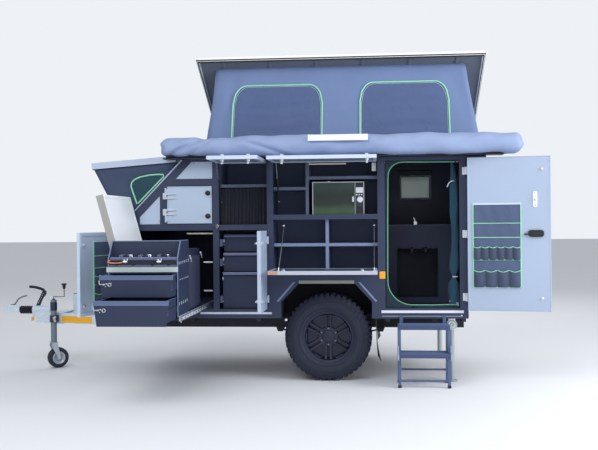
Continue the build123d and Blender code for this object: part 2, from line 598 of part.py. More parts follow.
OVEN_FRONT = NEAR + 60
with BuildPart() as microwave:
    block((3200, 3690), (OVEN_FRONT, OVEN_FRONT + 360), (1520.3, 1800))
    panel(side(OVEN_FRONT + 10), (3225, 3560), (1548, 1778), 10, Mode.SUBTRACT)
microwave.part.label = "microwave"
export_step(microwave.part, "parts/microwave.step")

# Far side locker with a ledge on top, seen through the entry door.
LEDGE, LOCKER_END = 1420, 4580
FAR_LOCKER_Y = (FAR - 570, INNER)
with BuildPart() as far_locker:
    block((GALLEY_END, LOCKER_END), FAR_LOCKER_Y, (FLOOR_TOP, LEDGE))
    block((GALLEY_END + PANEL, LOCKER_END - PANEL), (FAR_LOCKER_Y[0] + PANEL, INNER),
          (FLOOR_TOP + PANEL, LEDGE - PANEL), Mode.SUBTRACT)
    block((4010, 4440), (FAR_LOCKER_Y[0], FAR_LOCKER_Y[0] + PANEL), (FLOOR_TOP + 60, 1170), Mode.SUBTRACT)
far_locker.part.label = "far_locker"
export_step(far_locker.part, "parts/far_locker.step")

# Mudflaps hang behind the wheels from the wheel boxes' rear ends.
FLAP_WIDTH = 330
with BuildPart() as mudflaps:
    for y in (NEAR, FAR - FLAP_WIDTH):
        block((3790, 3796), (y, y + FLAP_WIDTH), (190, BODY_BOTTOM))
mudflaps.part.label = "mudflaps"
export_step(mudflaps.part, "parts/mudflaps.step")

# Tail lamps on the upper rear wall.
with BuildPart() as tail_lamps:
    for y in (NEAR + 200, FAR - 200):
        panel(cross(REAR_X), (y - 45, y + 45), (1080, 1340), 28, corner=20)
tail_lamps.part.label = "tail_lamps"
export_step(tail_lamps.part, "parts/tail_lamps.step")

# Awning: an extruded rail under the roof line and the rolled awning's long bag hung on it.
AWNING_X = (1854, 5094)
AWNING_H = (2048, 2262)
with BuildPart() as awning_rail:
    block((AWNING_X[0] + 20, AWNING_X[1] - 170), (NEAR - 12, NEAR), (2046, 2096))
awning_rail.part.label = "awning_rail"
export_step(awning_rail.part, "parts/awning_rail.step")

with BuildPart() as awning_bag:
    with BuildSketch(cross(AWNING_X[0])) as bag:
        with BuildLine():
            y0 = NEAR - 12.3
            Polyline((y0, AWNING_H[0] + 4), (y0, AWNING_H[1] - 40), (y0 - 50, AWNING_H[1]), (y0 - 170, AWNING_H[1] - 20),
                     (y0 - 236, AWNING_H[1] - 90), (y0 - 220, AWNING_H[0] + 50), (y0 - 150, AWNING_H[0]),
                     (y0 - 40, AWNING_H[0]), close=True)
        make_face()
    extrude(bag.sketch, amount=AWNING_X[1] - AWNING_X[0])
awning_bag.part.label = "awning_bag"
export_step(awning_bag.part, "parts/awning_bag.step")


# Roof: a shallow tray hinged along the far side, raised at the near side.
def turned(angle):
    """Cosine and sine of an angle in degrees."""
    return math.cos(math.radians(angle)), math.sin(math.radians(angle))


c, s = turned(ROOF_OPEN)
roof_plane = hinge_plane(ROOF_X[0], FAR + ROOF_HINGE_OUT, BODY_TOP, (0, -c, s), (1, 0, 0))
ROOF_LENGTH = ROOF_X[1] - ROOF_X[0]
ROOF_STATIONS = spread(ROOF_LENGTH, 4, 200)
ROOF_EDGE = ROOF_HINGE_OUT + 4
with BuildPart() as roof_panel:
    panel(roof_plane, (ROOF_EDGE, ROOF_REACH), (-ROOF_TOP, -ROOF_GAP), ROOF_LENGTH)
    chamfer(roof_panel.faces().sort_by(Axis.Z)[-1].edges(), length=8)
    panel(roof_plane.offset(ROOF_LIP), (ROOF_EDGE + ROOF_LIP, ROOF_REACH - ROOF_LIP), (-ROOF_TOP + ROOF_SKIN, -ROOF_GAP),
          ROOF_LENGTH - 2 * ROOF_LIP, Mode.SUBTRACT)
    leaf = [(0, 0), (0, -34), (ROOF_EDGE, -34), (ROOF_EDGE, -ROOF_GAP), (6, -ROOF_GAP), (6, 0)]
    barrels(roof_plane, leaf, ROOF_STATIONS)
roof_panel.part.label = "roof_panel"
export_step(roof_panel.part, "parts/roof_panel.step")

def tent(plane, corners, width):
    """A cloth tent open above and below: a sheet along the first edge and a gusset at each end."""
    slab(plane, corners, width)
    (ax, ay), (bx, by) = corners[:2]
    run = math.hypot(bx - ax, by - ay)
    ux, uy = (bx - ax) / run, (by - ay) / run
    turn = 1 if (corners[2][0] - ax) * -uy + (corners[2][1] - ay) * ux > 0 else -1
    nx, ny = -uy * turn * TENT_CLOTH, ux * turn * TENT_CLOTH
    middle = ((ax + bx) / 2, (ay + by) / 2)
    past = [(middle[0] + (x - middle[0]) * 1.4, middle[1] + (y - middle[1]) * 1.4) for x, y in corners[2:]]
    first = (ax + nx - ux * run * 0.2, ay + ny - uy * run * 0.2)
    second = (bx + nx + ux * run * 0.2, by + ny + uy * run * 0.2)
    slab(plane.offset(TENT_CLOTH), [first, second] + past, width - 2 * TENT_CLOTH, Mode.SUBTRACT)


# Tent between the roof and the body: a near face and two gussets.
CLOTH_GAP = 0.3
with BuildPart() as roof_tent:
    reach = ROOF_REACH - TENT_INSET
    under = ROOF_TOP - ROOF_SKIN - CLOTH_GAP
    top = (FAR + ROOF_HINGE_OUT - reach * c + under * s, BODY_TOP + reach * s + under * c)
    foot = (ROOF_HOLE[1][0] - 40, BODY_TOP + CLOTH_GAP)
    back = (FAR + ROOF_HINGE_OUT - 170 * c + under * s, BODY_TOP + 170 * s + under * c)
    heel = (back[0], BODY_TOP + CLOTH_GAP)
    tent(cross(TENT_X[0]), [foot, top, back, heel], TENT_X[1] - TENT_X[0])
roof_tent.part.label = "roof_tent"
export_step(roof_tent.part, "parts/roof_tent.step")

# Nose flap: hinged above the nose, raised nearly level as the bed's awning.
slope = math.atan2(NOSE_TOP - NOSE_LOW, NOSE_TOP_X - FRONT_X)
out = FLAP_CLEAR + FLAP_THICK + HINGE_PROUD
FLAP_PIN_X = NOSE_TOP_X - out * math.sin(slope)
FLAP_PIN_H = NOSE_TOP + out * math.cos(slope)
flap_angle = slope - math.radians(FLAP_OPEN)
flap_plane = hinge_plane(FLAP_PIN_X, INNER + WALL, FLAP_PIN_H, (-math.cos(flap_angle), 0, -math.sin(flap_angle)),
                         (0, -1, 0))
FLAP_STATIONS = spread(BODY_WIDTH, 3, 120)
with BuildPart() as nose_flap:
    panel(flap_plane, (HINGE_EDGE, FLAP_LENGTH), (HINGE_PROUD, HINGE_PROUD + FLAP_THICK), BODY_WIDTH)
    panel(flap_plane.offset(30), (HINGE_EDGE + 30, FLAP_LENGTH - 30), (HINGE_PROUD + 12, HINGE_PROUD + FLAP_THICK),
          BODY_WIDTH - 60, Mode.SUBTRACT)
    barrels(flap_plane, INSET_LEAF, FLAP_STATIONS)
nose_flap.part.label = "nose_flap"
export_step(nose_flap.part, "parts/nose_flap.step")

# Nose tent: cloth gussets from the nose's sloping edge to the flap's rim, and a sheet across its front.
NOSE_TENT_Y, CROWN_BACK = FAR - 15, 40
with BuildPart() as nose_tent:
    along = (-math.cos(flap_angle), -math.sin(flap_angle))
    below = (-along[1], along[0])
    drop = HINGE_PROUD + FLAP_THICK + CLOTH_GAP
    head, tip = [(FLAP_PIN_X + along[0] * e + below[0] * drop, FLAP_PIN_H + along[1] * e + below[1] * drop)
                 for e in (HINGE_EDGE, FLAP_LENGTH - 15)]
    lift = (-math.sin(slope) * CLOTH_GAP, math.cos(slope) * CLOTH_GAP)
    foot = (FRONT_X + lift[0], NOSE_LOW + lift[1])
    crown = (NOSE_TOP_X - CROWN_BACK + lift[0], NOSE_TOP - CROWN_BACK * math.tan(slope) + lift[1])
    tent(side(NOSE_TENT_Y), [tip, foot, crown, head], 2 * NOSE_TENT_Y)
nose_tent.part.label = "nose_tent"
export_step(nose_tent.part, "parts/nose_tent.step")

# Hatches of the near side, each about its own pin.
HINGE_Y = NEAR - HINGE_PROUD
UPPER_PIN = UPPER_HEAD - HATCH_GAP + HINGE_EDGE
cupboard_upper_plane = hinge_plane(CUPBOARD_X[0], HINGE_Y, UPPER_PIN, (0, -1, 0), (1, 0, 0))
CUPBOARD_WIDTH = CUPBOARD_X[1] - CUPBOARD_X[0]
with BuildPart() as cupboard_upper_hatch:
    reach = UPPER_PIN - UPPER_SILL - HATCH_GAP
    hatch(cupboard_upper_plane, CUPBOARD_WIDTH, reach, HINGE_EDGE, spread(CUPBOARD_WIDTH, 2))
cupboard_upper_hatch.part.label = "cupboard_upper_hatch"
export_step(cupboard_upper_hatch.part, "parts/cupboard_upper_hatch.step")

kitchen_upper_plane = hinge_plane(KITCHEN_X[0], HINGE_Y, UPPER_PIN, (0, -1, 0), (1, 0, 0))
KITCHEN_WIDTH = KITCHEN_X[1] - KITCHEN_X[0]
with BuildPart() as kitchen_upper_hatch:
    reach = UPPER_PIN - KITCHEN_UPPER_SILL - HATCH_GAP
    hatch(kitchen_upper_plane, KITCHEN_WIDTH, reach, HINGE_EDGE, spread(KITCHEN_WIDTH, 3))
kitchen_upper_hatch.part.label = "kitchen_upper_hatch"
export_step(kitchen_upper_hatch.part, "parts/kitchen_upper_hatch.step")

TABLE_PIN = KITCHEN_LOWER_SILL + HATCH_GAP - TABLE_EDGE
table_plane = hinge_plane(KITCHEN_X[1], HINGE_Y, TABLE_PIN, (0, -1, 0), (-1, 0, 0))
with BuildPart() as table_hatch:
    reach = KITCHEN_LOWER_HEAD - HATCH_GAP - TABLE_PIN
    hatch(table_plane, KITCHEN_WIDTH, reach, TABLE_EDGE, spread(KITCHEN_WIDTH, 3))
table_hatch.part.label = "table_hatch"
export_step(table_hatch.part, "parts/table_hatch.step")

CUPBOARD_PIN = CUPBOARD_X[1] - HATCH_GAP + HINGE_EDGE
LOWER_HEIGHT = LOWER_HEAD - LOWER_SILL
cupboard_lower_plane = hinge_plane(CUPBOARD_PIN, HINGE_Y, LOWER_HEAD, (0, -1, 0), (0, 0, -1))
with BuildPart() as cupboard_lower_hatch:
    reach = CUPBOARD_PIN - CUPBOARD_X[0] - HATCH_GAP
    hatch(cupboard_lower_plane, LOWER_HEIGHT, reach, HINGE_EDGE, spread(LOWER_HEIGHT, 2))
cupboard_lower_hatch.part.label = "cupboard_lower_hatch"
export_step(cupboard_lower_hatch.part, "parts/cupboard_lower_hatch.step")

LOCKER_PIN = LOCKER_OPENING[0][0] + HATCH_GAP - HINGE_EDGE
LOCKER_HEIGHT = LOCKER_OPENING[1][1] - LOCKER_OPENING[1][0]
locker_plane = hinge_plane(LOCKER_PIN, HINGE_Y, LOCKER_OPENING[1][0], (1, 0, 0), (0, 0, 1))
with BuildPart() as locker_hatch:
    reach = LOCKER_OPENING[0][1] - HATCH_GAP - LOCKER_PIN
    hatch(locker_plane, LOCKER_HEIGHT, reach, HINGE_EDGE, spread(LOCKER_HEIGHT, 2, 20))
locker_hatch.part.label = "locker_hatch"
export_step(locker_hatch.part, "parts/locker_hatch.step")

# Front hatch, swung back past square to the wall.
FRONT_PIN = FRONT_OPENING[0][0] + HATCH_GAP - HINGE_EDGE
c, s = turned(FRONT_HATCH_OPEN)
front_plane = hinge_plane(FRONT_PIN, HINGE_Y, LOWER_SILL, (c, -s, 0), (0, 0, 1))
with BuildPart() as front_hatch:
    reach = FRONT_OPENING[0][1] - HATCH_GAP - FRONT_PIN
    hatch(front_plane, LOWER_HEIGHT, reach, HINGE_EDGE, spread(LOWER_HEIGHT, 3))
front_hatch.part.label = "front_hatch"
export_step(front_hatch.part, "parts/front_hatch.step")

POCKET_DEPTH = 34
with BuildPart() as front_pockets:
    panel(front_plane.offset(90), (90, 520), (HINGE_PROUD + HATCH - 7.7, HINGE_PROUD + HATCH - 7.7 + POCKET_DEPTH), 560)
front_pockets.part.label = "front_pockets"
export_step(front_pockets.part, "parts/front_pockets.step")

# Entry door, laid over its opening when shut.
DOOR_THICK, DOOR_SEAL = 35, 6
DOOR_H = (662, 2020)
DOOR_REACH = 728
DOOR_PIN_X = 4600
DOOR_PIN_Y = NEAR - DOOR_SEAL - DOOR_THICK - HINGE_PROUD
c, s = turned(180 - DOOR_OPEN)
door_plane = hinge_plane(DOOR_PIN_X, DOOR_PIN_Y, DOOR_H[1], (c, -s, 0), (0, 0, -1))
DOOR_HEIGHT = DOOR_H[1] - DOOR_H[0]
DOOR_STATIONS = spread(DOOR_HEIGHT, 3, 80)
with BuildPart() as entry_door:
    panel(door_plane, (HINGE_EDGE, DOOR_REACH), (HINGE_PROUD, HINGE_PROUD + DOOR_THICK), DOOR_HEIGHT)
    barrels(door_plane, INSET_LEAF, DOOR_STATIONS)
entry_door.part.label = "entry_door"
export_step(entry_door.part, "parts/entry_door.step")

with BuildPart() as door_pockets:
    inner_face = HINGE_PROUD + DOOR_THICK + RUNNER_GAP
    panel(door_plane.offset(DOOR_H[1] - 1615), (60, 474), (inner_face, inner_face + POCKET_DEPTH), 745)
door_pockets.part.label = "door_pockets"
export_step(door_pockets.part, "parts/door_pockets.step")

# Hinge lugs and pins of everything that is hung on the body.
INSET_FOOT = ((-8, 0), (-7, 6))
PLATE, STEADY_CLEAR = 8, 8
with BuildPart() as hinge_lugs:
    lugs(cupboard_upper_plane, INSET_FOOT, spread(CUPBOARD_WIDTH, 2))
    lugs(kitchen_upper_plane, INSET_FOOT, spread(KITCHEN_WIDTH, 3))
    lugs(table_plane, INSET_FOOT, spread(KITCHEN_WIDTH, 3))
    lugs(cupboard_lower_plane, INSET_FOOT, spread(LOWER_HEIGHT, 2))
    lugs(locker_plane, ((-7, 6), (0, 8)), spread(LOCKER_HEIGHT, 2, 20))
    front_wall_plane = hinge_plane(FRONT_PIN, HINGE_Y, LOWER_SILL, (1, 0, 0), (0, 0, 1))
    lugs(front_wall_plane, ((-7, 6), (0, 8)), spread(LOWER_HEIGHT, 3))
    door_wall_plane = hinge_plane(DOOR_PIN_X, DOOR_PIN_Y, DOOR_H[1], (1, 0, 0), (0, 0, -1))
    lugs(door_wall_plane, ((-7, 7), (DOOR_PIN_Y - NEAR, 0)), DOOR_STATIONS)
    roof_wall_plane = hinge_plane(ROOF_X[0], FAR + ROOF_HINGE_OUT, BODY_TOP, (0, -1, 0), (1, 0, 0))
    lugs(roof_wall_plane, ((0, ROOF_HINGE_OUT), (0, 40)), ROOF_STATIONS)
    flap_wall_plane = hinge_plane(FLAP_PIN_X, FAR, FLAP_PIN_H, (-1, 0, 0), (0, -1, 0))
    lugs(flap_wall_plane, ((FLAP_PIN_X - NOSE_TOP_X, 0), (-7, 7)), FLAP_STATIONS)
    for y in (-STEADY_Y, STEADY_Y):
        reach = STEADY_TUBE + STEADY_CLEAR
        for start in (y + reach + PLATE, y - reach):
            rod(side(start), (STEADY_X, STEADY_PIVOT), 46, PLATE)
            panel(side(start), (STEADY_X - 30, STEADY_X + 30), (STEADY_PIVOT, BODY_BOTTOM), PLATE)
        rod(side(y + reach + PLATE), (STEADY_X, STEADY_PIVOT), PIN_RADIUS * 2, 2 * (reach + PLATE))
hinge_lugs.part.label = "hinge_lugs"
export_step(hinge_lugs.part, "parts/hinge_lugs.step")

# Slide-out kitchen: chrome rails, a folded cabinet with wind-shields, and the fridge on the same tray.
with BuildPart() as slide_rails:
    for x in (UNIT_X[0] - SLIDE_RAIL, UNIT_X[1]):
        block((x, x + SLIDE_RAIL), (UNIT_FRONT + 10, -300), (LOWER_SILL, LOWER_SILL + 42))
slide_rails.part.label = "slide_rails"
export_step(slide_rails.part, "parts/slide_rails.step")

SHIELD = [(UNIT_FRONT, UNIT_LOW), (UNIT_FRONT, SHIELD_FRONT), (UNIT_FRONT + SHIELD_BACK, SHIELD_TOP),
          (UNIT_BACK, SHIELD_TOP), (UNIT_BACK, UNIT_LOW)]
with BuildPart() as slide_cabinet:
    for x in (UNIT_X[0], UNIT_X[1] - SHEET):
        slab(cross(x), SHIELD, SHEET)
    across = (UNIT_X[0] + SHEET, UNIT_X[1] - SHEET)
    block(across, (UNIT_BACK - SHEET, UNIT_BACK), (UNIT_LOW, SHIELD_TOP))
    block(across, (UNIT_FRONT, UNIT_BACK - SHEET), (UNIT_LOW, UNIT_LOW + SHEET))
    block(across, (UNIT_FRONT, UNIT_BACK - SHEET), (UNIT_TOP - SHEET, UNIT_TOP))
    block(across, (UNIT_FRONT, UNIT_BACK - SHEET), (863, 871))
    block(UNIT_X, (UNIT_BACK, FRIDGE_Y[1]), (UNIT_LOW, UNIT_LOW + SHEET))
slide_cabinet.part.label = "slide_cabinet"
export_step(slide_cabinet.part, "parts/slide_cabinet.step")

with BuildPart() as stove:
    inside = (UNIT_X[0] + SHEET + 0.3, UNIT_X[1] - SHEET - 0.3)
    block(inside, (UNIT_FRONT + 4, UNIT_BACK - SHEET - 0.3), (UNIT_TOP + 3, STOVE[0]))
    block(inside, (UNIT_FRONT + 10, UNIT_BACK - SHEET - 0.3), STOVE)
    block((inside[0] + 10, inside[1] - 10), (UNIT_FRONT + 20, UNIT_BACK - SHEET - 10), (STOVE[0] + 14, STOVE[1]),
          Mode.SUBTRACT)
    for x in (1760, 1918, 2076):
        rod(deck(STOVE[0] + 14), (x, (UNIT_FRONT + UNIT_BACK) / 2 + 10), 48, 26)
stove.part.label = "stove"
export_step(stove.part, "parts/stove.step")


def drawer(x, front, depth, height, flange):
    """A drawer box: open on top, with a rolled lip along its front and sides that run in the rails."""
    block(x, (front, front + depth), height)
    block((x[0] + DRAWER_WALL, x[1] - DRAWER_WALL), (front + DRAWER_WALL, front + depth - DRAWER_WALL),
          (height[0] + DRAWER_WALL, height[1]), Mode.SUBTRACT)
    block((x[0], x[1]), (front - flange, front), (height[1] - 22, height[1] - 4))


DRAWER_X = (UNIT_X[0] + SHEET + 6, UNIT_X[1] - SHEET - 6)
for name, height, pulled in (("lower", (690, 857), 345), ("upper", (877, 1045), 190)):
    with BuildPart() as unit_drawer:
        front = UNIT_FRONT - pulled
        drawer(DRAWER_X, front + 14, 366, height, 14)
        for x in ((DRAWER_X[0] - 6 + RUNNER_GAP, DRAWER_X[0]), (DRAWER_X[1], DRAWER_X[1] + 6 - RUNNER_GAP)):
            block(x, (front + 14, front + 380), (height[0] + 55, height[0] + 55 + SLIDE_H))
    unit_drawer.part.label = f"{name}_drawer"
    export_step(unit_drawer.part, f"parts/{name}_drawer.step")

with BuildPart() as fridge:
    block(FRIDGE_X, FRIDGE_Y, FRIDGE_H)
    block((FRIDGE_X[0] + FRIDGE_WALL, FRIDGE_X[1] - FRIDGE_WALL), (FRIDGE_Y[0] + FRIDGE_WALL, FRIDGE_Y[1] - FRIDGE_WALL),
          (FRIDGE_H[0] + 60, FRIDGE_H[1]), Mode.SUBTRACT)
    block((FRIDGE_X[0] + 30, FRIDGE_X[1] - 30), (FRIDGE_Y[0] + 30, FRIDGE_Y[1] - 30), (UNIT_LOW + SHEET, FRIDGE_H[0]))
    LID_PIN_X, LID_PIN_H = FRIDGE_X[0] - HINGE_PROUD, FRIDGE_H[1]
    lid_wall_plane = hinge_plane(LID_PIN_X, FRIDGE_Y[0], LID_PIN_H, (1, 0, 0), (0, 1, 0))
    FRIDGE_LENGTH = FRIDGE_Y[1] - FRIDGE_Y[0]
    lugs(lid_wall_plane, ((0, HINGE_PROUD), (0, 40)), spread(FRIDGE_LENGTH, 2))
fridge.part.label = "fridge"
export_step(fridge.part, "parts/fridge.step")

c, s = turned(LID_OPEN)
lid_plane = hinge_plane(LID_PIN_X, FRIDGE_Y[0], LID_PIN_H, (c, 0, s), (0, 1, 0))
LID_EDGE = 10
with BuildPart() as fridge_lid:
    panel(lid_plane, (LID_EDGE, 508), (-LID_THICK - 6, -6), FRIDGE_LENGTH)
    leaf = [(0, 0), (0, -30), (LID_EDGE, -30), (LID_EDGE, -6), (5, -6), (5, 0)]
    barrels(lid_plane, leaf, spread(FRIDGE_LENGTH, 2))
fridge_lid.part.label = "fridge_lid"
export_step(fridge_lid.part, "parts/fridge_lid.step")

# Cupboard drawers, each run back to its own stop, on wooden runner blocks.
for name, height, front in CUPBOARD_DRAWERS:
    with BuildPart() as cup_drawer:
        drawer(CUP_DRAWER_X, front + 14, 400, height, 14)
        for x in ((CUP_DRAWER_X[0] - 5, CUP_DRAWER_X[0]), (CUP_DRAWER_X[1], CUP_DRAWER_X[1] + 5)):
            block(x, (front + 14, front + 414), (height[0] + 60, height[0] + 60 + SLIDE_H))
    cup_drawer.part.label = f"cupboard_drawer_{name}"
    export_step(cup_drawer.part, f"parts/cupboard_drawer_{name}.step")

# Rear steadies: drop-down legs, each on the pin between its two plates.
for name, y in (("near", -STEADY_Y), ("far", STEADY_Y)):
    with BuildPart() as steady:
        rod(deck(14), (STEADY_X, y), STEADY_TUBE, STEADY_PIVOT + 4)
        rod(deck(0), (STEADY_X, y), 50, 14)
        rod(side(y + STEADY_TUBE), (STEADY_X, STEADY_PIVOT), PIN_RADIUS * 2 + PIN_CLEAR, 2 * STEADY_TUBE, Mode.SUBTRACT)
    steady.part.label = f"{name}_steady"
    export_step(steady.part, f"parts/{name}_steady.step")

# Step: two treads on splayed legs and braces, hooked on the near side and standing on the ground.
STEP_X, STEP_BAR = (3985, 4440), 25
UPPER_TREAD, LOWER_TREAD = (512, 540), (282, 306)
HOOK_TOP = 612
with BuildPart() as step:
    block(STEP_X, (NEAR - 260, NEAR - 10), UPPER_TREAD)
    block(STEP_X, (NEAR - 520, NEAR - 300), LOWER_TREAD)
    for x in (STEP_X[0] + 20, STEP_X[1] - 50):
        block((x, x + 30), (NEAR - 12, NEAR), (UPPER_TREAD[0], HOOK_TOP))
    for x in (STEP_X[0], STEP_X[1] - STEP_BAR):
        for bar in ([(-20, UPPER_TREAD[0]), (5, UPPER_TREAD[0]), (40, 0), (10, 0)],
                    [(-260, UPPER_TREAD[1]), (-230, UPPER_TREAD[0]), (-550, 0), (-580, 0)],
                    [(-400, LOWER_TREAD[0]), (-370, LOWER_TREAD[0]), (0, 90), (0, 60)]):
            slab(cross(x), [(NEAR + y, height) for y, height in bar], STEP_BAR)
step.part.label = "step"
export_step(step.part, "parts/step.step")
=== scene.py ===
import math

import bmesh
import bpy
from mathutils import Matrix, Vector


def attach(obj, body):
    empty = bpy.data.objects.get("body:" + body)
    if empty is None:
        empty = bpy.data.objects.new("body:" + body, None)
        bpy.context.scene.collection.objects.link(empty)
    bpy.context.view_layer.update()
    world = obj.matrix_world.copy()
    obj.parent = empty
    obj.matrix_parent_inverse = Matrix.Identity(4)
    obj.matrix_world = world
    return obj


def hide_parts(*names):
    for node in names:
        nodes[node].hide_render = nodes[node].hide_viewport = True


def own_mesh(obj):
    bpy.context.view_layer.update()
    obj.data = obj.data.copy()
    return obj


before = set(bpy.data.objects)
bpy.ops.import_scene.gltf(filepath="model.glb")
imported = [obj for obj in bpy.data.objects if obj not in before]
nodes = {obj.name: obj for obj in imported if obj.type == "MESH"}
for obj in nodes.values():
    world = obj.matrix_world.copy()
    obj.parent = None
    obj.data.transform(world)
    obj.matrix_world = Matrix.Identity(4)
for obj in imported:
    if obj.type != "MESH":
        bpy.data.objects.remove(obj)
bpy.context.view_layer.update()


# Camera: a stills camera a little above a standing person's chest, some eight metres from the near side.
# It looks slightly towards the front of the caravan and leans a trace clockwise.
HITCH_HEIGHT = 568


def place(x, y, height):
    """A point of the frame, from millimetres behind the tow ball, to the far side and above the ground."""
    return Vector((x / 1000, y / 1000, (height - HITCH_HEIGHT) / 1000))


EYE = place(3813, -8900, 1460)
YAW, PITCH, ROLL = math.radians(5.1), math.radians(0.195), 0.0082
PHOTO_WIDTH, FOCAL_PIXELS = 598, 880
forward = Vector((-math.sin(YAW) * math.cos(PITCH), math.cos(YAW) * math.cos(PITCH), -math.sin(PITCH)))
level = Vector((math.cos(YAW), math.sin(YAW), 0))
upright = level.cross(forward)
right = level * math.cos(ROLL) - upright * math.sin(ROLL)
up = level * math.sin(ROLL) + upright * math.cos(ROLL)
camera_data = bpy.data.cameras.new("camera")
camera_data.sensor_width = 36
camera_data.lens = camera_data.sensor_width * FOCAL_PIXELS / PHOTO_WIDTH
camera = bpy.data.objects.new("camera", camera_data)
bpy.context.scene.collection.objects.link(camera)
turn = Matrix((right, up, -forward)).transposed()
camera.matrix_world = Matrix.Translation(EYE) @ turn.to_4x4()
bpy.context.scene.camera = camera
bpy.context.scene.view_settings.view_transform = "Standard"


# Studio: a wide pale floor under a pale surround, lit by three soft lamps on the near side and one behind.
# The surround shows paler to the camera and through glass than the light that it gives.
def tint(code, alpha=1.0):
    """A colour written as sRGB hex, turned to the linear values that the shaders take."""
    channels = [int(code[i:i + 2], 16) / 255 for i in (1, 3, 5)]
    linear = [c / 12.92 if c <= 0.04045 else ((c + 0.055) / 1.055) ** 2.4 for c in channels]
    return (*linear, alpha)


def add(tree, kind, settings=(), links=()):
    """Adds one node with its settings and links, each a pair of a socket or attribute name and a value."""
    node = tree.nodes.new(kind)
    for key, value in dict(settings).items():
        if isinstance(key, str) and hasattr(node, key):
            setattr(node, key, value)
        else:
            node.inputs[key].default_value = value
    for key, source in dict(links).items():
        tree.links.new(source, node.inputs[key])
    return node


world = bpy.data.worlds.new("soft_surround")
bpy.context.scene.world = world
world.use_nodes = True
sky = world.node_tree
sky.nodes.clear()
seen = add(sky, "ShaderNodeLightPath")
through_or_camera = add(sky, "ShaderNodeMath", {"operation": "MAXIMUM"},
                        {0: seen.outputs["Is Camera Ray"], 1: seen.outputs["Is Transmission Ray"]})
lit = add(sky, "ShaderNodeBackground", {"Color": tint("#f4f6fa"), "Strength": 0.62})
shown = add(sky, "ShaderNodeBackground", {"Color": tint("#eef1f5"), "Strength": 1.0})
either = add(sky, "ShaderNodeMixShader", (),
             {0: through_or_camera.outputs[0], 1: lit.outputs[0], 2: shown.outputs[0]})
add(sky, "ShaderNodeOutputWorld", (), {"Surface": either.outputs[0]})

floor_mesh = bpy.data.meshes.new("studio_floor")
floor_mesh.from_pydata([place(x, y, -1)
                        for x, y in ((-30000, -30000), (36000, -30000), (36000, 60000), (-30000, 60000))],
                       [], [(0, 1, 2, 3)])
studio_floor = bpy.data.objects.new("studio_floor", floor_mesh)
bpy.context.scene.collection.objects.link(studio_floor)
floor_paint = bpy.data.materials.new("matt_studio_floor")
floor_paint.use_nodes = True
floor_shader = floor_paint.node_tree.nodes["Principled BSDF"]
floor_shader.inputs["Base Color"].default_value = tint("#e4e7ec")
floor_shader.inputs["Roughness"].default_value = 0.9
floor_mesh.materials.append(floor_paint)

for lamp_name, spot, aim, size, power in (("key_lamp", (1200, -6500, 6200), (3200, -600, 1200), 4.5, 230),
                                          ("fill_lamp", (9000, -3400, 3400), (3400, -600, 1200), 4.0, 330),
                                          ("back_lamp", (3400, 6500, 5600), (3400, 600, 1200), 5.0, 150),
                                          ("low_fill", (4300, -7600, 1500), (3100, -700, 1300), 2.6, 20)):
    lamp_data = bpy.data.lights.new(lamp_name, "AREA")
    lamp_data.size = size
    lamp_data.energy = power
    lamp = bpy.data.objects.new(lamp_name, lamp_data)
    lamp.location = place(*spot)
    lamp.rotation_euler = (place(*aim) - place(*spot)).to_track_quat("-Z", "Y").to_euler()
    bpy.context.scene.collection.objects.link(lamp)


# Body frame: welded slate-coloured aluminium extrusions, with every near side opening cut between them.
# Powder coat gives a satin face with a fine orange peel.
def toned(name, low, high, scale, detail, settings=()):
    """A material whose colour drifts between two tones, and its tree, shader, place and cloud."""
    material = bpy.data.materials.new(name)
    material.use_nodes = True
    tree = material.node_tree
    shader = tree.nodes["Principled BSDF"]
    for label, value in dict(settings).items():
        shader.inputs[label].default_value = value
    where = add(tree, "ShaderNodeTexCoord").outputs["Object"]
    cloud = add(tree, "ShaderNodeTexNoise", {"Scale": scale, "Detail": detail},
                {"Vector": where}).outputs["Fac"]
    tone = add(tree, "ShaderNodeMix", {"data_type": "RGBA", 6: low, 7: high}, {0: cloud})
    tree.links.new(tone.outputs[2], shader.inputs["Base Color"])
    return material, tree, shader, where, cloud


def uneven_gloss(tree, shader, source, low, high):
    """Lets the roughness drift between two values."""
    span = add(tree, "ShaderNodeMapRange", {"To Min": low, "To Max": high}, {"Value": source})
    tree.links.new(span.outputs[0], shader.inputs["Roughness"])


def scaled(colour, share):
    """A hex colour made lighter or darker by a share, in linear values."""
    return tuple(min(1, channel * share) for channel in tint(colour)[:3]) + (1,)


def coat(name, colour, roughness, peel_mm=1.2, mottle=0.12, metallic=0.0, bump=0.15):
    """A coated or moulded surface: colour that varies a little, uneven gloss and a fine peel in its bump."""
    material, tree, shader, where, cloud = toned(name, scaled(colour, 1 - mottle),
            scaled(colour, 1 + mottle), 2.5, 4.0, {"Metallic": metallic})
    scuff = add(tree, "ShaderNodeTexNoise", {"Scale": 9.0, "Detail": 6.0}, {"Vector": where}).outputs["Fac"]
    uneven_gloss(tree, shader, scuff, roughness - 0.08, roughness + 0.1)
    peel = add(tree, "ShaderNodeTexNoise", {"Scale": 500 / peel_mm, "Detail": 2.0},
               {"Vector": where}).outputs["Fac"]
    relief = add(tree, "ShaderNodeBump", {"Strength": bump, "Distance": 0.0004}, {"Height": peel})
    tree.links.new(relief.outputs[0], shader.inputs["Normal"])
    return material


def finish(material, *names):
    """Gives CAD nodes their finish."""
    for name in names:
        mesh = nodes[name].data
        mesh.materials.clear()
        mesh.materials.append(material)


slate = coat("slate_powder_coated_aluminium", "#293451", 0.5)
finish(slate, "near_wall", "front_wall", "rear_wall", "far_wall", "roof_frame")
finish(coat("slate_board", "#303a4f", 0.5), "floor")
silver = coat("silver_composite_panel", "#b2c3da", 0.34, mottle=0.05)
finish(silver, "near_panels", "locker_hatch", "cupboard_lower_hatch", "cupboard_upper_hatch",
       "kitchen_upper_hatch", "table_hatch")


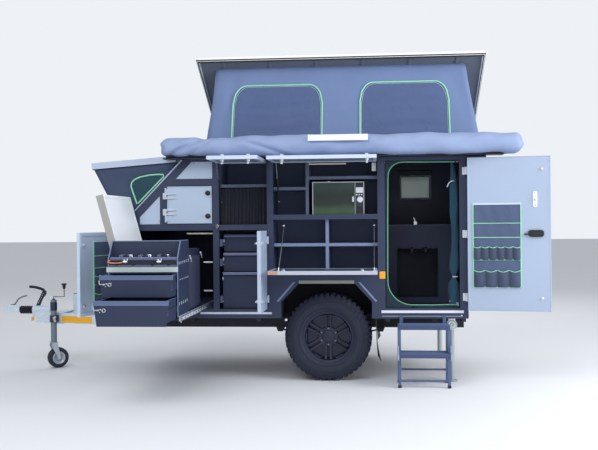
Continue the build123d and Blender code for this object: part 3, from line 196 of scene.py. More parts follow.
# Roof: a moulded white tray, hinged along the far side and raised at the near side on gas struts.
# Its rim keeps a black bulb seal, and a grey carpet liner covers the inside between the ribs.
class Form:
    """A mesh gathered from closed shapes, in millimetres, laid in the frame or on a tilted panel."""

    def __init__(self, lay=place):
        self.lay = lay
        self.points = []
        self.faces = []

    def loft(self, rings, loop=False):
        """Joins rings of points into one solid, closed at both ends or run round into a loop."""
        count, start = len(rings[0]), len(self.points)
        self.points += [self.lay(*point) for ring in rings for point in ring]
        starts = [start + r * count for r in range(len(rings))]
        for here, after in zip(starts, starts[1:] + starts[:1] if loop else starts[1:]):
            for k in range(count):
                beside = (k + 1) % count
                self.faces.append([here + k, here + beside, after + beside, after + k])
        if not loop:
            self.faces += [[starts[0] + k for k in range(count)][::-1],
                           [starts[-1] + k for k in range(count)]]
        return self

    def prism(self, outline, axis, start, end):
        """An outline in the two other axes, drawn out along one axis."""
        return self.loft([[(*pair[:axis], at, *pair[axis:]) for pair in outline] for at in (start, end)])

    def box(self, x, y, z):
        """A block between two values on each axis."""
        return self.prism([(y[0], z[0]), (y[1], z[0]), (y[1], z[1]), (y[0], z[1])], 0, x[0], x[1])

    def turned(self, profile, centre, axis, steps=24, loop=False):
        """A profile of distance along an axis and radius, turned about it, with closed ends or as a loop."""
        rings = []
        for along, radius in profile:
            middle = list(centre)
            middle[axis] += along
            rings.append(circle(middle, (radius, radius), axis, steps))
        return self.loft(rings, loop)

    def tube(self, path, radius, steps=8, closed=False):
        """A round bar that follows a path of points."""
        path = [Vector(point) for point in path]
        rings, side_way = [], None
        for i, here in enumerate(path):
            before = path[i - 1] if closed or i else here
            after = path[(i + 1) % len(path)] if closed or i < len(path) - 1 else here
            ahead = (after - before).normalized()
            side_way = side_way or ahead.orthogonal()
            side_way = (side_way - ahead * side_way.dot(ahead)).normalized()
            other = ahead.cross(side_way)
            rings.append([here + side_way * across + other * up
                          for across, up, _ in circle((0, 0, 0), (radius, radius), 2, steps)])
        return self.loft(rings, closed)

    def sheet(self, across, along, surface, loop=False):
        """An open grid of points given by surface(i, j), closed round the first way if it is a loop."""
        start, row = len(self.points), across if loop else across + 1
        self.points += [self.lay(*surface(i, j)) for j in range(along + 1) for i in range(row)]
        for j in range(along):
            for i in range(across):
                a, b = start + j * row + i, start + j * row + (i + 1) % row
                self.faces.append([a, b, b + row, a + row])
        return self


def circle(centre, radii, axis, steps):
    """Points round a circle or an oval about an axis."""
    path = []
    for i in range(steps):
        angle = 2 * math.pi * i / steps
        offset = [radii[0] * math.cos(angle), radii[1] * math.sin(angle)]
        offset.insert(axis, 0)
        path.append([c + o for c, o in zip(centre, offset)])
    return path


def smoothed(mesh, sharp, closed=True):
    """Turns a closed mesh's faces outward, and shades it smooth where it bends less than the sharp angle."""
    if closed:
        shell = bmesh.new()
        shell.from_mesh(mesh)
        bmesh.ops.recalc_face_normals(shell, faces=shell.faces)
        shell.to_mesh(mesh)
        shell.free()
    mesh.shade_smooth()
    mesh.set_sharp_from_angle(angle=math.radians(sharp))


def show(name, form, material, body="root", bevel=0.0, sharp=35, thick=0.0, instead_of=None):
    """Makes the piece: smooth where it curves, eased at its edges, riding on its body, maybe for a node."""
    mesh = bpy.data.meshes.new(name)
    mesh.from_pydata(form.points, [], form.faces)
    smoothed(mesh, sharp, closed=not thick)
    mesh.materials.append(material)
    piece = bpy.data.objects.new(name, mesh)
    bpy.context.scene.collection.objects.link(piece)
    if thick:
        wall = piece.modifiers.new("thickness", "SOLIDIFY")
        wall.thickness = thick / 1000
        wall.offset = 0
    if bevel:
        ease = piece.modifiers.new("eased_edges", "BEVEL")
        ease.width = bevel / 1000
        ease.segments = 2
        ease.limit_method = "ANGLE"
        ease.angle_limit = math.radians(40)
        ease.harden_normals = True
    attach(piece, body)
    if instead_of:
        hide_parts(instead_of)
        finish(material, instead_of)
    return piece


def hinged(axis, pin, heading, side=1):
    """Lays out a panel's points: along its pin, out from it along the heading, and off its face."""
    if not isinstance(heading, tuple):
        heading = (math.cos(math.radians(heading)), math.sin(math.radians(heading)))

    def lay(*point):
        """One point of the panel, in the frame."""
        reach, off = point[:axis] + point[axis + 1:]
        laid = [pin[0] + reach * heading[0] - off * side * heading[1],
                pin[1] + reach * heading[1] + off * side * heading[0]]
        laid.insert(axis, point[axis])
        return place(*laid)
    return lay


ROOF_TILT = 29.5
ROOF_X, ROOF_REACH, ROOF_PIN = (2112, 4817), 1804, (910, 2100)
on_roof = hinged(0, ROOF_PIN, 180 - ROOF_TILT, -1)
gelcoat = coat("white_gelcoat", "#eceef1", 0.22, peel_mm=9, mottle=0.02, bump=0.05)
finish(gelcoat, "roof_panel")
ribs = Form(on_roof)
for start in (1050, 560, 1500):
    ribs.prism([(start, 46), (start + 14, 57), (start + 86, 57), (start + 100, 46)], 0, ROOF_X[0] + 120,
               ROOF_X[1] - 120)
show("roof_ribs", ribs, gelcoat, body="roof", bevel=6)

seal_rubber = coat("black_bulb_seal", "#14161b", 0.7, peel_mm=2)
seal = Form(on_roof)
for inset, start, above, radius in ((12, 40, 1, 8), (-1, 30, 14, 6)):
    rim = [(ROOF_X[0] + inset, start), (ROOF_X[0] + inset, ROOF_REACH - inset),
           (ROOF_X[1] - inset, ROOF_REACH - inset), (ROOF_X[1] - inset, start)]
    seal.tube([(x, reach, above) for x, reach in rim], radius, closed=True)
show("roof_seal", seal, seal_rubber, body="roof")

liner_felt = coat("grey_carpet_liner", "#666d79", 0.95, peel_mm=3, mottle=0.18, bump=0.5)
liner = Form(on_roof)
liner.box((ROOF_X[0] + 26, ROOF_X[1] - 26), (42, ROOF_REACH - 26), (22, 30.6))
for i in range(6):
    start = ROOF_X[0] + 240 + i * 440
    liner.box((start, start + 34), (60, ROOF_REACH - 40), (12, 24))
show("roof_liner", liner, liner_felt, body="roof", bevel=3)


# Roof tent: one continuous sheet of proofed grey canvas from the roof's rim down to the deck, with two
# arched windows on the near side. Green piping is sewn round each window, and the slack cloth creases.
def cloth(name, colour, thread_mm, crease=0.35, fuzz=0.4, mottle=0.1, roughness=0.85, fold_mm=140):
    """A woven cloth: crossing threads, soft creases and a slight sheen; threads are drawn coarse to show."""
    material, tree, shader, where, cloud = toned(name, scaled(colour, 1 - 1.6 * mottle),
            scaled(colour, 1 + mottle), 3.0, 5.0,
            {"Roughness": roughness, "Sheen Weight": fuzz * 0.4, "Sheen Roughness": 0.5})
    weave = None
    for direction in "XYZ":
        thread = add(tree, "ShaderNodeTexWave",
                     {"bands_direction": direction, "Scale": 50 / thread_mm, "Distortion": 0.4},
                     {"Vector": where}).outputs["Fac"]
        if weave:
            thread = add(tree, "ShaderNodeMath", {"operation": "ADD"}, {0: weave, 1: thread}).outputs[0]
        weave = thread
    folds = add(tree, "ShaderNodeTexNoise", {"Scale": 1000 / fold_mm, "Detail": 3.0, "Distortion": 0.8},
                {"Vector": where})
    fine = add(tree, "ShaderNodeBump", {"Strength": 0.25, "Distance": 0.0006}, {"Height": weave})
    soft = add(tree, "ShaderNodeBump", {"Strength": crease, "Distance": 0.012},
               {"Height": folds.outputs["Fac"], "Normal": fine.outputs[0]})
    tree.links.new(soft.outputs[0], shader.inputs["Normal"])
    return material


def arc(centre, radius, start, end, steps):
    """Points of an arc, as pairs."""
    return [(centre[0] + radius * math.cos(math.radians(start + (end - start) * i / steps)),
             centre[1] + radius * math.sin(math.radians(start + (end - start) * i / steps)))
            for i in range(steps + 1)]


def rounded(x, y, radius, steps=5):
    """A rectangle with rounded corners, as pairs."""
    corners = (((x[1] - radius, y[1] - radius), 0), ((x[0] + radius, y[1] - radius), 90),
               ((x[0] + radius, y[0] + radius), 180), ((x[1] - radius, y[0] + radius), 270))
    return [point for centre, start in corners for point in arc(centre, radius, start, start + 90, steps)]


TENT_FOOT = (-820, 2100.3)
TENT_LEAN = (0.3208, 0.9471)
TENT_LOW, TENT_HIGH, TENT_BACK, TENT_HEAD_Y = (2210, 4760), (2269, 4654), 762, -531.9
on_tent = hinged(0, TENT_FOOT, TENT_LEAN)


def tent_loop(x, near, back, radius=60):
    """The tent's outline at one height, with rounded corners, as pairs of X and Y with even steps."""
    outline = rounded(x, (near, back), radius, 6)
    total = []
    for (ax, ay), (bx, by) in zip(outline, outline[1:] + outline[:1]):
        steps = max(1, int(math.hypot(bx - ax, by - ay) / 34))
        total += [(ax + (bx - ax) * i / steps, ay + (by - ay) * i / steps) for i in range(steps)]
    return total


low_loop = tent_loop(TENT_LOW, TENT_FOOT[0], TENT_BACK)
TENT_ROWS = 22


def tent_point(i, j):
    """A point of the whole tent, with the folds that the slack cloth takes."""
    x, y = low_loop[i]
    middle = (TENT_LOW[0] + TENT_LOW[1]) / 2
    share = (TENT_BACK - y) / (TENT_BACK - TENT_FOOT[0])
    top_y = TENT_BACK + (y - TENT_BACK) * (TENT_BACK - TENT_HEAD_Y) / (TENT_BACK - TENT_FOOT[0])
    tilt = math.radians(ROOF_TILT)
    top = ROOF_PIN[1] + (ROOF_PIN[0] - top_y) * math.tan(tilt) + 28 / math.cos(tilt)
    squeeze = (TENT_HIGH[1] - TENT_HIGH[0]) / (TENT_LOW[1] - TENT_LOW[0])
    top_x = (TENT_HIGH[0] + TENT_HIGH[1]) / 2 + (x - middle) * squeeze
    t = j / TENT_ROWS
    belly = math.sin(math.pi * t)
    end_fold = abs((x - middle) / (TENT_LOW[1] - middle)) ** 8
    ripple = 5 * math.sin(x / 95 + 1.5 * t) * belly * (1 - t)
    ripple += 9 * math.sin(x / 38 + y / 60 + 5 * t) * belly * end_fold
    side_fold = 12 * math.sin(y / 75 + 3 * t) * belly if end_fold > 0.9 else 0
    tuck = -14 * math.exp(-((x - 2330 - 120 * t) / 26) ** 2) * belly
    return (x + (top_x - x) * t + side_fold * (0.7 if x > middle else -0.7) * min(1, share * 1.2),
            y + (top_y - y) * t - (ripple + tuck) * (1 if y < -700 else 0),
            TENT_FOOT[1] + (top - TENT_FOOT[1]) * t)


tent_canvas = cloth("proofed_grey_canvas", "#667aa3", 1.4, fold_mm=220)
tent_piece = show("roof_tent_canvas", Form().sheet(len(low_loop), TENT_ROWS, tent_point, loop=True),
                  tent_canvas, sharp=80, thick=2.0, instead_of="roof_tent")

piping_green = cloth("green_binding_tape", "#8fd9b0", 1.0, crease=0.1)
window_canvas = cloth("window_blind_canvas", "#485a82", 1.2, crease=0.6, fold_mm=90)
thread_white = coat("white_sewing_thread", "#c9d2df", 0.8)
windows = Form(on_tent)
binding = Form(on_tent)
hems = Form(on_tent)
WINDOWS = ((2463, 3306, 690), (3659, 4478, 700))
CORNER_SHARE, CORNER_DROP = 0.3, 190
for x0, x1, top in WINDOWS:
    width = x1 - x0

    def bulge(i, j):
        """The window's blind: arched at its top, slack between its hems."""
        u, v = i / 44, j / 30
        x = x0 + width * u
        corner = max(0, abs(u - 0.5) * 2 - 1 + CORNER_SHARE) / CORNER_SHARE
        head = top - CORNER_DROP * (1 - math.sqrt(max(0, 1 - corner ** 2)))
        slack = math.sin(math.pi * u) * math.sin(math.pi * v)
        crease = math.sin(v * 34 + 1.6 * math.sin(u * 4 + x0)) * 5 * slack
        crease += math.sin(v * 19 - u * 2) * 4 * slack
        return x, 8 + (head - 8) * v, 5 + 6 * slack + crease

    windows.sheet(44, 30, bulge)
    edge = [bulge(0, j)[:2] for j in range(30)] + [bulge(i, 30)[:2] for i in range(45)]
    edge += [bulge(44, j)[:2] for j in range(29, -1, -1)]
    binding.tube([(x, rise, 8) for x, rise in edge], 7)
    hems.tube([(x + (14 if x < x0 + width / 2 else -14), rise - 14, 6) for x, rise in edge], 1.6, steps=5)
window_piece = show("tent_window_blinds", windows, window_canvas, sharp=80, thick=2.0)
binding_piece = show("tent_window_binding", binding, piping_green)
hem_piece = show("tent_window_stitching", hems, thread_white)
skirt = Form()
skirt_loop = tent_loop((TENT_LOW[0] - 8, TENT_LOW[1] + 8), TENT_FOOT[0] - 8, TENT_BACK + 8)
skirt.tube([(x, y, 2108) for x, y in skirt_loop], 7, closed=True)
show("tent_skirt_cord", skirt, coat("aluminium_sail_track", "#7d8797", 0.4, metallic=0.7))
for soft in (tent_piece, window_piece, binding_piece, hem_piece):
    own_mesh(soft)


# Nose tent: the canvas that closes the raised nose flap, a gusset at each side and a sheet across the front.
# The near gusset has a dark mesh window bound in green.
FLAP_LENGTH = 810
on_flap = hinged(1, (1968.3, 2090.1), 184.2)
NOSE_CORNERS = ((1181, 1965), (1448, 1451), (1979, 1998), (1959, 2022))
nose_canvas = cloth("nose_canvas", "#374660", 1.4, fold_mm=150)
nose = Form()


def gusset(side):
    """One gusset's surface, from the nose edge (j = 0) to the flap (j = 12)."""
    def surface(i, j):
        u, v = i / 20, j / 12
        tip, foot, crown, head = NOSE_CORNERS
        low = (foot[0] + (crown[0] - foot[0]) * u, foot[1] + (crown[1] - foot[1]) * u)
        high = (tip[0] + (head[0] - tip[0]) * u, tip[1] + (head[1] - tip[1]) * u)
        slack = math.sin(math.pi * u) * math.sin(math.pi * v)
        fold = 9 * slack * math.sin(6 * u + 9 * v)
        return (low[0] + (high[0] - low[0]) * v, side * (884 - 10 * slack) + fold,
                low[1] + (high[1] - low[1]) * v)
    return surface


nose.sheet(20, 12, gusset(-1))
nose.sheet(20, 12, gusset(1))


def nose_front(i, j):
    """The sheet across the front, slack between the two gussets."""
    u, v = i / 36, j / 12
    tip, foot = NOSE_CORNERS[:2]
    slack = math.sin(math.pi * u) * math.sin(math.pi * v)
    fold = 10 * slack * math.sin(24 * u + 4 * v) + 8 * slack
    return (foot[0] + (tip[0] - foot[0]) * v + fold, -884 + 1768 * u,
            foot[1] + (tip[1] - foot[1]) * v + fold * 0.4)


nose.sheet(36, 12, nose_front)
nose_piece = show("nose_tent_canvas", nose, nose_canvas, sharp=80, thick=2.0,
                  instead_of="nose_tent")
mesh_window = cloth("dark_insect_mesh", "#1d4150", 2.2, crease=0.2, fuzz=0.1)
NOSE_WINDOW = ((1590, 1640), (1560, 1724), (1535, 1800), (1540, 1838), (1570, 1868), (1623, 1890),
               (1715, 1907), (1800, 1912), (1842, 1908), (1846, 1893), (1790, 1836), (1700, 1746),
               (1620, 1666), (1602, 1648))
pane_piece = show("nose_tent_window", Form().prism(NOSE_WINDOW, 1, -892, -888)
                  .prism([(x, h) for x, h in NOSE_WINDOW], 1, 888, 892), mesh_window)
nose_binding = Form()
for side in (-1, 1):
    nose_binding.tube([(x, side * 892, h) for x, h in NOSE_WINDOW], 7, closed=True)
nose_binding_piece = show("nose_tent_binding", nose_binding, piping_green)
for soft in (nose_piece, pane_piece, nose_binding_piece):
    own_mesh(soft)


# Nose flap: a pale composite board with a folded rim, hinged above the nose and lifted on two gas struts.
# Underneath it is lined with the same grey carpet as the roof.
pale_rim = coat("pale_folded_aluminium", "#b3bfd6", 0.35, mottle=0.05)
finish(pale_rim, "nose_flap")
show("nose_flap_liner", Form(on_flap).box((48, FLAP_LENGTH - 34), (-866, 866), (20.4, 32)), liner_felt,
     body="nose_flap", bevel=3)
show("nose_flap_seal", Form(on_flap).tube([(x, y, 67) for x, y in ((22, -890), (FLAP_LENGTH - 8, -890),
                                           (FLAP_LENGTH - 8, 890), (22, 890))], 5, closed=True),
     seal_rubber, body="nose_flap")


# Awning: a roll of coated polyester in a long zipped bag, hung on a dark extruded rail along the near side.
# The bag sags between the arms that lie in it, and it is gathered at both ends.
def settle(piece, pinned, pressure, cap_mm, steps=20, gravity=0.0, stiff=12.0):
    """Lets Blender's cloth fill the piece, holds each point near where it began, and keeps the result."""
    start = [vertex.co.copy() for vertex in piece.data.vertices]
    held = piece.vertex_groups.new(name="held")
    held.add([i for i, point in enumerate(start) if pinned(point)], 1.0, "ADD")
    cloth_modifier = piece.modifiers.new("cloth", "CLOTH")
    fabric = cloth_modifier.settings
    fabric.quality = 5
    fabric.mass = 0.3
    fabric.tension_stiffness = stiff
    fabric.compression_stiffness = stiff
    fabric.shear_stiffness = stiff / 2
    fabric.bending_stiffness = 0.6
    fabric.vertex_group_mass = "held"
    fabric.use_pressure = pressure > 0
    fabric.uniform_pressure_force = pressure
    fabric.effector_weights.gravity = gravity
    cloth_modifier.collision_settings.use_collision = False
    for step in range(1, steps + 1):
        bpy.context.scene.frame_set(step)
    settled = piece.evaluated_get(bpy.context.evaluated_depsgraph_get())
    moved = [vertex.co.copy() for vertex in settled.data.vertices]
    piece.modifiers.remove(cloth_modifier)
    piece.vertex_groups.remove(held)
    for vertex, before, after in zip(piece.data.vertices, start, moved):
        shift = after - before
        if shift.length > cap_mm / 1000:
            shift *= cap_mm / 1000 / shift.length
        vertex.co = before + shift
    bpy.context.scene.frame_set(1)


vinyl = cloth("coated_awning_polyester", "#899bc0", 1.6, crease=0.5, fuzz=0.1, mottle=0.06, roughness=0.6,
              fold_mm=260)
AWNING = (1854, 5094)
BAG = ((-912.5, 2052), (-912.5, 2150), (-918, 2216), (-948, 2250), (-1008, 2261), (-1080, 2250),
       (-1130, 2212), (-1147, 2160), (-1142, 2104), (-1118, 2066), (-1070, 2050), (-990, 2048))
BAG_STEPS = 150
ring = list(BAG)
for _ in range(2):
    ring = [(a[0] * share + b[0] * (1 - share), a[1] * share + b[1] * (1 - share))
            for a, b in zip(ring, ring[1:] + ring[:1]) for share in (0.75, 0.25)]
bag = Form()


def bag_point(i, j):
    """The bag's surface: gathered at both ends, sagging between the arms, with diagonal tucks."""
    y, h = ring[i]
    x = AWNING[0] + 14 + (AWNING[1] - AWNING[0] - 28) * j / BAG_STEPS
    from_end = min(x - AWNING[0], AWNING[1] - x)
    close = max(0.0, 1 - from_end / 70)
    gather = 1 - 0.55 * close ** 2.4
    free = min(1, max(0, (-918 - y) / 90))
    front = max(0, 1 - (x - AWNING[0]) / 620)
    wave = 5 * math.sin(x / 210) + 4 * math.sin(x / 83 + h / 50) + 2.5 * math.sin(x / 41 - h / 27)
    tuck = -30 * math.exp(-(((x - 2090) + (h - 2150) * -1.5) / 46) ** 2) * (1 if x < 2500 else 0)
    tuck += -16 * math.exp(-(((x - 2230) + (h - 2140) * -1.1) / 38) ** 2) * (1 if h < 2180 else 0.3)
    tuck += -14 * math.exp(-(((x - 2840) + (h - 2120) * 2.6) / 60) ** 2)
    shrink = (tuck + wave - 8 - 8 * front) * free
    push = shrink / 110
    my, mh = -1030, 2156
    dy, dh = (y - my) * (gather + push), (h - mh) * (gather + push)
    return x + 12 * close * math.sin(h / 30), min(-912.5, my + dy), mh + dh


bag.loft([[bag_point(i, j) for i in range(len(ring))] for j in range(BAG_STEPS + 1)])
bag_piece = show("awning_bag_cover", bag, vinyl, sharp=70, instead_of="awning_bag")
bag_back = place(0, -914, 0).y
settle(bag_piece, lambda point: point.y > bag_back, 1.2, 12, gravity=0.6)
dark_rail = coat("anodised_dark_rail", "#242b3a", 0.35, metallic=0.5)
finish(dark_rail, "awning_rail")
show("awning_base", Form().box((1874, 4924), (-1050, -913), (2040, 2050))
     .box((1874, 4924), (-930, -912.2), (2050, 2066)), dark_rail, bevel=2)
show("awning_blank_plate", Form().prism(rounded((3205, 3735), (2176, 2230), 6), 1, -1149, -1140),
     coat("white_vinyl_patch", "#e6e9f0", 0.5, mottle=0.03))


# Near side skin: silver composite infills let into the slate frame, with a pale trim along the nose's edge.
# Rows of dark screws hold the frame's corner plates, and bright ones hold the infills.
def grown(name, mesh, values, build, material, body, sharp):
    """Keeps as a piece what Geometry Nodes make of a small mesh; build adds the nodes that place it."""
    piece = bpy.data.objects.new(name, mesh)
    bpy.context.scene.collection.objects.link(piece)
    tree = bpy.data.node_groups.new(name + "_nodes", "GeometryNodeTree")
    tree.interface.new_socket("Geometry", in_out="INPUT", socket_type="NodeSocketGeometry")
    for label, value in values.items():
        kind = {int: "Int", float: "Float"}.get(type(value), "Vector")
        tree.interface.new_socket(label, in_out="INPUT", socket_type="NodeSocket" + kind)
    tree.interface.new_socket("Geometry", in_out="OUTPUT", socket_type="NodeSocketGeometry")
    placed = build(tree, add(tree, "NodeGroupInput").outputs)
    real = add(tree, "GeometryNodeRealizeInstances", (), {"Geometry": placed.outputs[0]})
    painted = add(tree, "GeometryNodeSetMaterial", {"Material": material}, {"Geometry": real.outputs[0]})
    add(tree, "NodeGroupOutput", (), {"Geometry": painted.outputs[0]})
    modifier = piece.modifiers.new("nodes", "NODES")
    modifier.node_group = tree
    for item in tree.interface.items_tree:
        if item.in_out == "INPUT" and item.name in values:
            modifier[item.identifier] = values[item.name]
    made = bpy.data.meshes.new_from_object(piece.evaluated_get(bpy.context.evaluated_depsgraph_get()))
    piece.modifiers.remove(modifier)
    piece.data = made
    smoothed(made, sharp)
    if not made.materials:
        made.materials.append(material)
    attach(piece, body)
    return piece


def studs(name, lines, pitch_mm, head_mm, material):
    """Screw heads at an even pitch along lines, each given as its start, its end and the heads' way out."""
    mesh = bpy.data.meshes.new(name)
    points = [place(*point) for start, end, out in lines for point in (start, end)]
    mesh.from_pydata(points, [(i, i + 1) for i in range(0, len(points), 2)], [])
    outward = mesh.attributes.new("outward", "FLOAT_VECTOR", "POINT")
    for i in range(len(points)):
        outward.data[i].vector = lines[i // 2][2]

    def heads(tree, given):
        """Sets a flattened ball at each step of the lines, turned to their way out."""
        line = add(tree, "GeometryNodeMeshToCurve", (), {"Mesh": given["Geometry"]})
        even = add(tree, "GeometryNodeResampleCurve", {"mode": "LENGTH"},
                   {"Curve": line.outputs[0], "Length": given["Pitch"]})
        head = add(tree, "GeometryNodeMeshUVSphere", {"Segments": 10, "Rings": 6, "Radius": 1.0})
        way = add(tree, "GeometryNodeInputNamedAttribute", {"data_type": "FLOAT_VECTOR", "Name": "outward"})
        facing = add(tree, "FunctionNodeAlignRotationToVector", {"axis": "Z"}, {"Vector": way.outputs[0]})
        size = add(tree, "ShaderNodeCombineXYZ", (),
                   {"X": given["Head radius"], "Y": given["Head radius"], "Z": given["Head height"]})
        return add(tree, "GeometryNodeInstanceOnPoints", (), {"Points": even.outputs[0],
                   "Instance": head.outputs[0], "Rotation": facing.outputs[0], "Scale": size.outputs[0]})

    grown(name, mesh,
          {"Pitch": pitch_mm / 1000, "Head radius": head_mm / 2000, "Head height": head_mm / 5000}, heads,
          material, "root", 180)


stainless = coat("bright_stainless_steel", "#c3cad3", 0.25, peel_mm=1.5, mottle=0.06, metallic=0.9)
screw_lines = []
for x0, x1, h in ((2330, 2826, 2062), (2860, 3820, 2062), (1640, 2290, 1418), (2830, 3850, 1505),
                  (1470, 2290, 640), (3780, 4600, 628)):
    screw_lines.append(((x0, -900.6, h), (x1, -900.6, h), (0, -1, 0)))
for x, h0, h1 in ((2330, 700, 1400), (2832, 700, 2000), (3848, 960, 2000), (4590, 690, 1880)):
    screw_lines.append(((x, -900.6, h0), (x, -900.6, h1), (0, -1, 0)))
frame_screw = coat("dark_zinc_screw", "#3d475c", 0.4, peel_mm=1.5, metallic=0.5)
studs("frame_screws", screw_lines, 190, 9, frame_screw)

nose_trim = Form()
for side in (-900, 888):
    nose_trim.prism([(1440, 1447), (1450, 1447), (2030, 2045), (2018, 2050)], 1, side - 6, side + 18)
show("nose_edge_trim", nose_trim, pale_rim, bevel=1)

infill_screws = []
for start, end in (((1990, 1880), (2285, 1880)), ((2130, 2008), (2285, 2008)),
                   ((1630, 1465), (1795, 1465)), ((1796, 1480), (1796, 1680))):
    infill_screws.append(((start[0], -894.6, start[1]), (end[0], -894.6, end[1]), (0, -1, 0)))
studs("infill_screws", infill_screws, 105, 8, stainless)


# Small locker hatch: a pressed silver board on two steel strap hinges, with two black turn handles.
# Each strap has two fingers that run on to the board from a plated hinge block.
handle_black = coat("black_glass_filled_nylon", "#15171c", 0.45, peel_mm=1.0, bump=0.3)
zinc = coat("zinc_plated_steel", "#d3d9e2", 0.3, peel_mm=1.5, mottle=0.08, metallic=0.6)
straps = Form()
for h in (1705, 1556):
    straps.prism(rounded((1838, 1872), (h - 26, h + 34), 6), 1, -914, -900)
    for rise in (-18, 22):
        straps.prism([(1868, h + rise - 7), (1868, h + rise + 9), (1960, h + rise + 3),
                      (1960, h + rise - 3)], 1, -911, -900)
show("locker_strap_hinges", straps, zinc, body="locker_hatch", bevel=2)


def turn_handle(form, across, up, face, out=1, wide=44):
    """A quarter-turn handle: a round rose, a stem and a bar; out is the way that it stands from the face."""
    form.turned([(face, 24), (face + 5 * out, 24), (face + 9 * out, 17), (face + 10 * out, 10)],
                (across, 0, up), 1, 20)
    form.turned([(face, 9), (face + 24 * out, 9)], (across, 0, up), 1, 12)
    form.prism(rounded((across - wide / 2, across + wide / 2), (up - 8, up + 8), 7), 1, face + 18 * out,
               face + 30 * out)


locker_handles = Form()
for h in (1734, 1522):
    turn_handle(locker_handles, 2258, h, -900, -1)
show("locker_turn_handles", locker_handles, handle_black, body="locker_hatch", bevel=2)
show("locker_pressed_rim", Form().tube([(1884, -901, 1459), (2288, -901, 1459), (2288, -901, 1790),
                                        (1884, -901, 1790)], 3.5, closed=True), silver,
     body="locker_hatch")
show("mid_bar_latch", Form().turned([(-900, 17), (-912, 17), (-916, 11)], (2346, 0, 1429), 1, 18)
     .box((2340, 2352), (-934, -912), (1404, 1440)), coat("bronzed_latch", "#8d7f7c", 0.35, metallic=0.6),
     bevel=2)


# Hatches: folded silver boards with a white edge band, a grey liner and zinc cam locks at the free edge.
# Two steel stays hold the table level.
PIN_LINE = -908
on_upper = hinged(0, (PIN_LINE, 2038), 180)
white_band = coat("white_edge_band", "#c3cee4", 0.35, mottle=0.03)
hatch_liner = coat("grey_hatch_liner", "#6f7a8d", 0.7, peel_mm=2.0, bump=0.3)
for name, x0, x1, reach in (("cupboard_upper_hatch", 2365, 2799, 592),
                            ("kitchen_upper_hatch", 2868, 3808, 504)):
    show(name + "_edge", Form(on_upper).box((x0 - 1.5, x1 + 1.5), (reach - 1, reach + 2), (7, 39)),
         white_band, body=name, bevel=1)
    show(name + "_liner", Form(on_upper).box((x0 + 30, x1 - 30), (44, reach - 30), (27, 31)), hatch_liner,
         body=name, bevel=1)
    locks = Form(on_upper)
    for x in (x0 + 128, x1 - 82):
        locks.turned([(8, 16), (3, 16), (0, 10)], (x, reach - 46, 0), 2, 16)
        locks.box((x - 14, x + 14), (reach - 51, reach - 41), (-7, 2))
        locks.turned([(38, 17), (54, 17)], (x, reach - 46, 0), 2, 16)
        locks.box((x - 9, x + 9), (reach - 51, reach - 41), (50, 78))
        locks.box((x - 9, x + 9), (reach - 51, reach - 14), (71, 78))
    show(name + "_locks", locks, zinc, body=name, bevel=1.5)
on_table = hinged(0, (PIN_LINE, 1000), 180, -1)
show("table_edge", Form(on_table).box((2866, 3810), (475, 479), (6, 39)),
     coat("pale_grey_edge_band", "#b4b8c4", 0.4, mottle=0.05), body="table_hatch", bevel=1)
# A warm copper-coloured patch at the left end of the table's edge band is a painted highlight.
show("table_edge_warm_highlight", Form(on_table).box((2866, 2952), (478, 481), (8, 37)),
     coat("edge_painted_warm_highlight", "#c19a83", 0.4, metallic=0.3), body="table_hatch")
show("table_inlay", Form(on_table).box((2898, 3778), (58, 446), (31, 37)),
     coat("slate_laminate", "#3a4761", 0.4), body="table_hatch", bevel=1)
table_locks = Form(on_table)
for x in (3000, 3680):
    table_locks.turned([(36, 16), (44, 16), (50, 10)], (x, 430, 0), 2, 16)
    table_locks.box((x - 6, x + 6), (424, 462), (44, 52))
show("table_locks", table_locks, zinc, body="table_hatch", bevel=1.5)
stay_feet = Form(on_table)
for x in (2958, 3782):
    stay_feet.box((x - 12, x + 12), (402, 440), (38, 42))
    stay_feet.prism([(402, 42), (440, 42), (430, 66), (412, 66)], 0, x - 3, x + 3)
show("table_stay_feet", stay_feet, zinc, body="table_hatch", bevel=1)
table_stays = Form()
for x in (2958, 3782):
    table_stays.tube([(x, -872, 1424), (x, -1010, 1303), (x, -1150, 1180), (x, -1328, 1058)], 4)
    table_stays.turned([(x - 8, 9), (x + 8, 9)], (0, -870, 1426), 0, 12)
stays_piece = show("table_stays", table_stays, stainless)
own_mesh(stays_piece)
on_side_hatch = hinged(2, (2813, PIN_LINE), -90, -1)
side_locks = Form(on_side_hatch)
for h in (1276, 770):
    side_locks.turned([(8, 20), (2, 20), (-1, 12)], (402, 0, h), 1, 16)
    side_locks.box((382, 422), (-14, 0), (h - 7, h + 7))
    side_locks.turned([(38, 14), (54, 14)], (402, 0, h), 1, 16)
    side_locks.box((398, 446), (54, 60), (h - 7, h + 7))
show("cupboard_lower_locks", side_locks, zinc, body="cupboard_lower_hatch", bevel=1.5)
show("cupboard_lower_edge", Form(on_side_hatch).box((447, 450), (7, 39), (670, 1385)), pale_rim,
     body="cupboard_lower_hatch", bevel=1)
show("cupboard_lower_liner", Form(on_side_hatch).box((44, 418), (27, 31), (702, 1353)), hatch_liner,
     body="cupboard_lower_hatch", bevel=1)
on_front_hatch = hinged(2, (1506, PIN_LINE), -107)
# The front hatch takes a lighter copy of the silver composite: painted light that makes up for the shade on
# its inner face.
shaded_silver = coat("shaded_silver_board", "#c6d8ee", 0.4, mottle=0.04)
finish(shaded_silver, "front_hatch")
front_locks = Form(on_front_hatch)
for h in (1277, 759):
    front_locks.turned([(38, 17), (48, 17), (52, 10)], (742, 0, h), 1, 16)
    front_locks.box((724, 760), (50, 60), (h - 8, h + 8))
    front_locks.turned([(8, 22), (3, 22), (0, 14)], (742, 0, h), 1, 16)
    front_locks.box((722, 762), (-14, 1), (h - 8, h + 8))
show("front_hatch_locks", front_locks, zinc, bevel=2)
show("front_hatch_liner", Form(on_front_hatch).box((44, 762), (27, 31), (702, 1353)), shaded_silver,
     bevel=1)


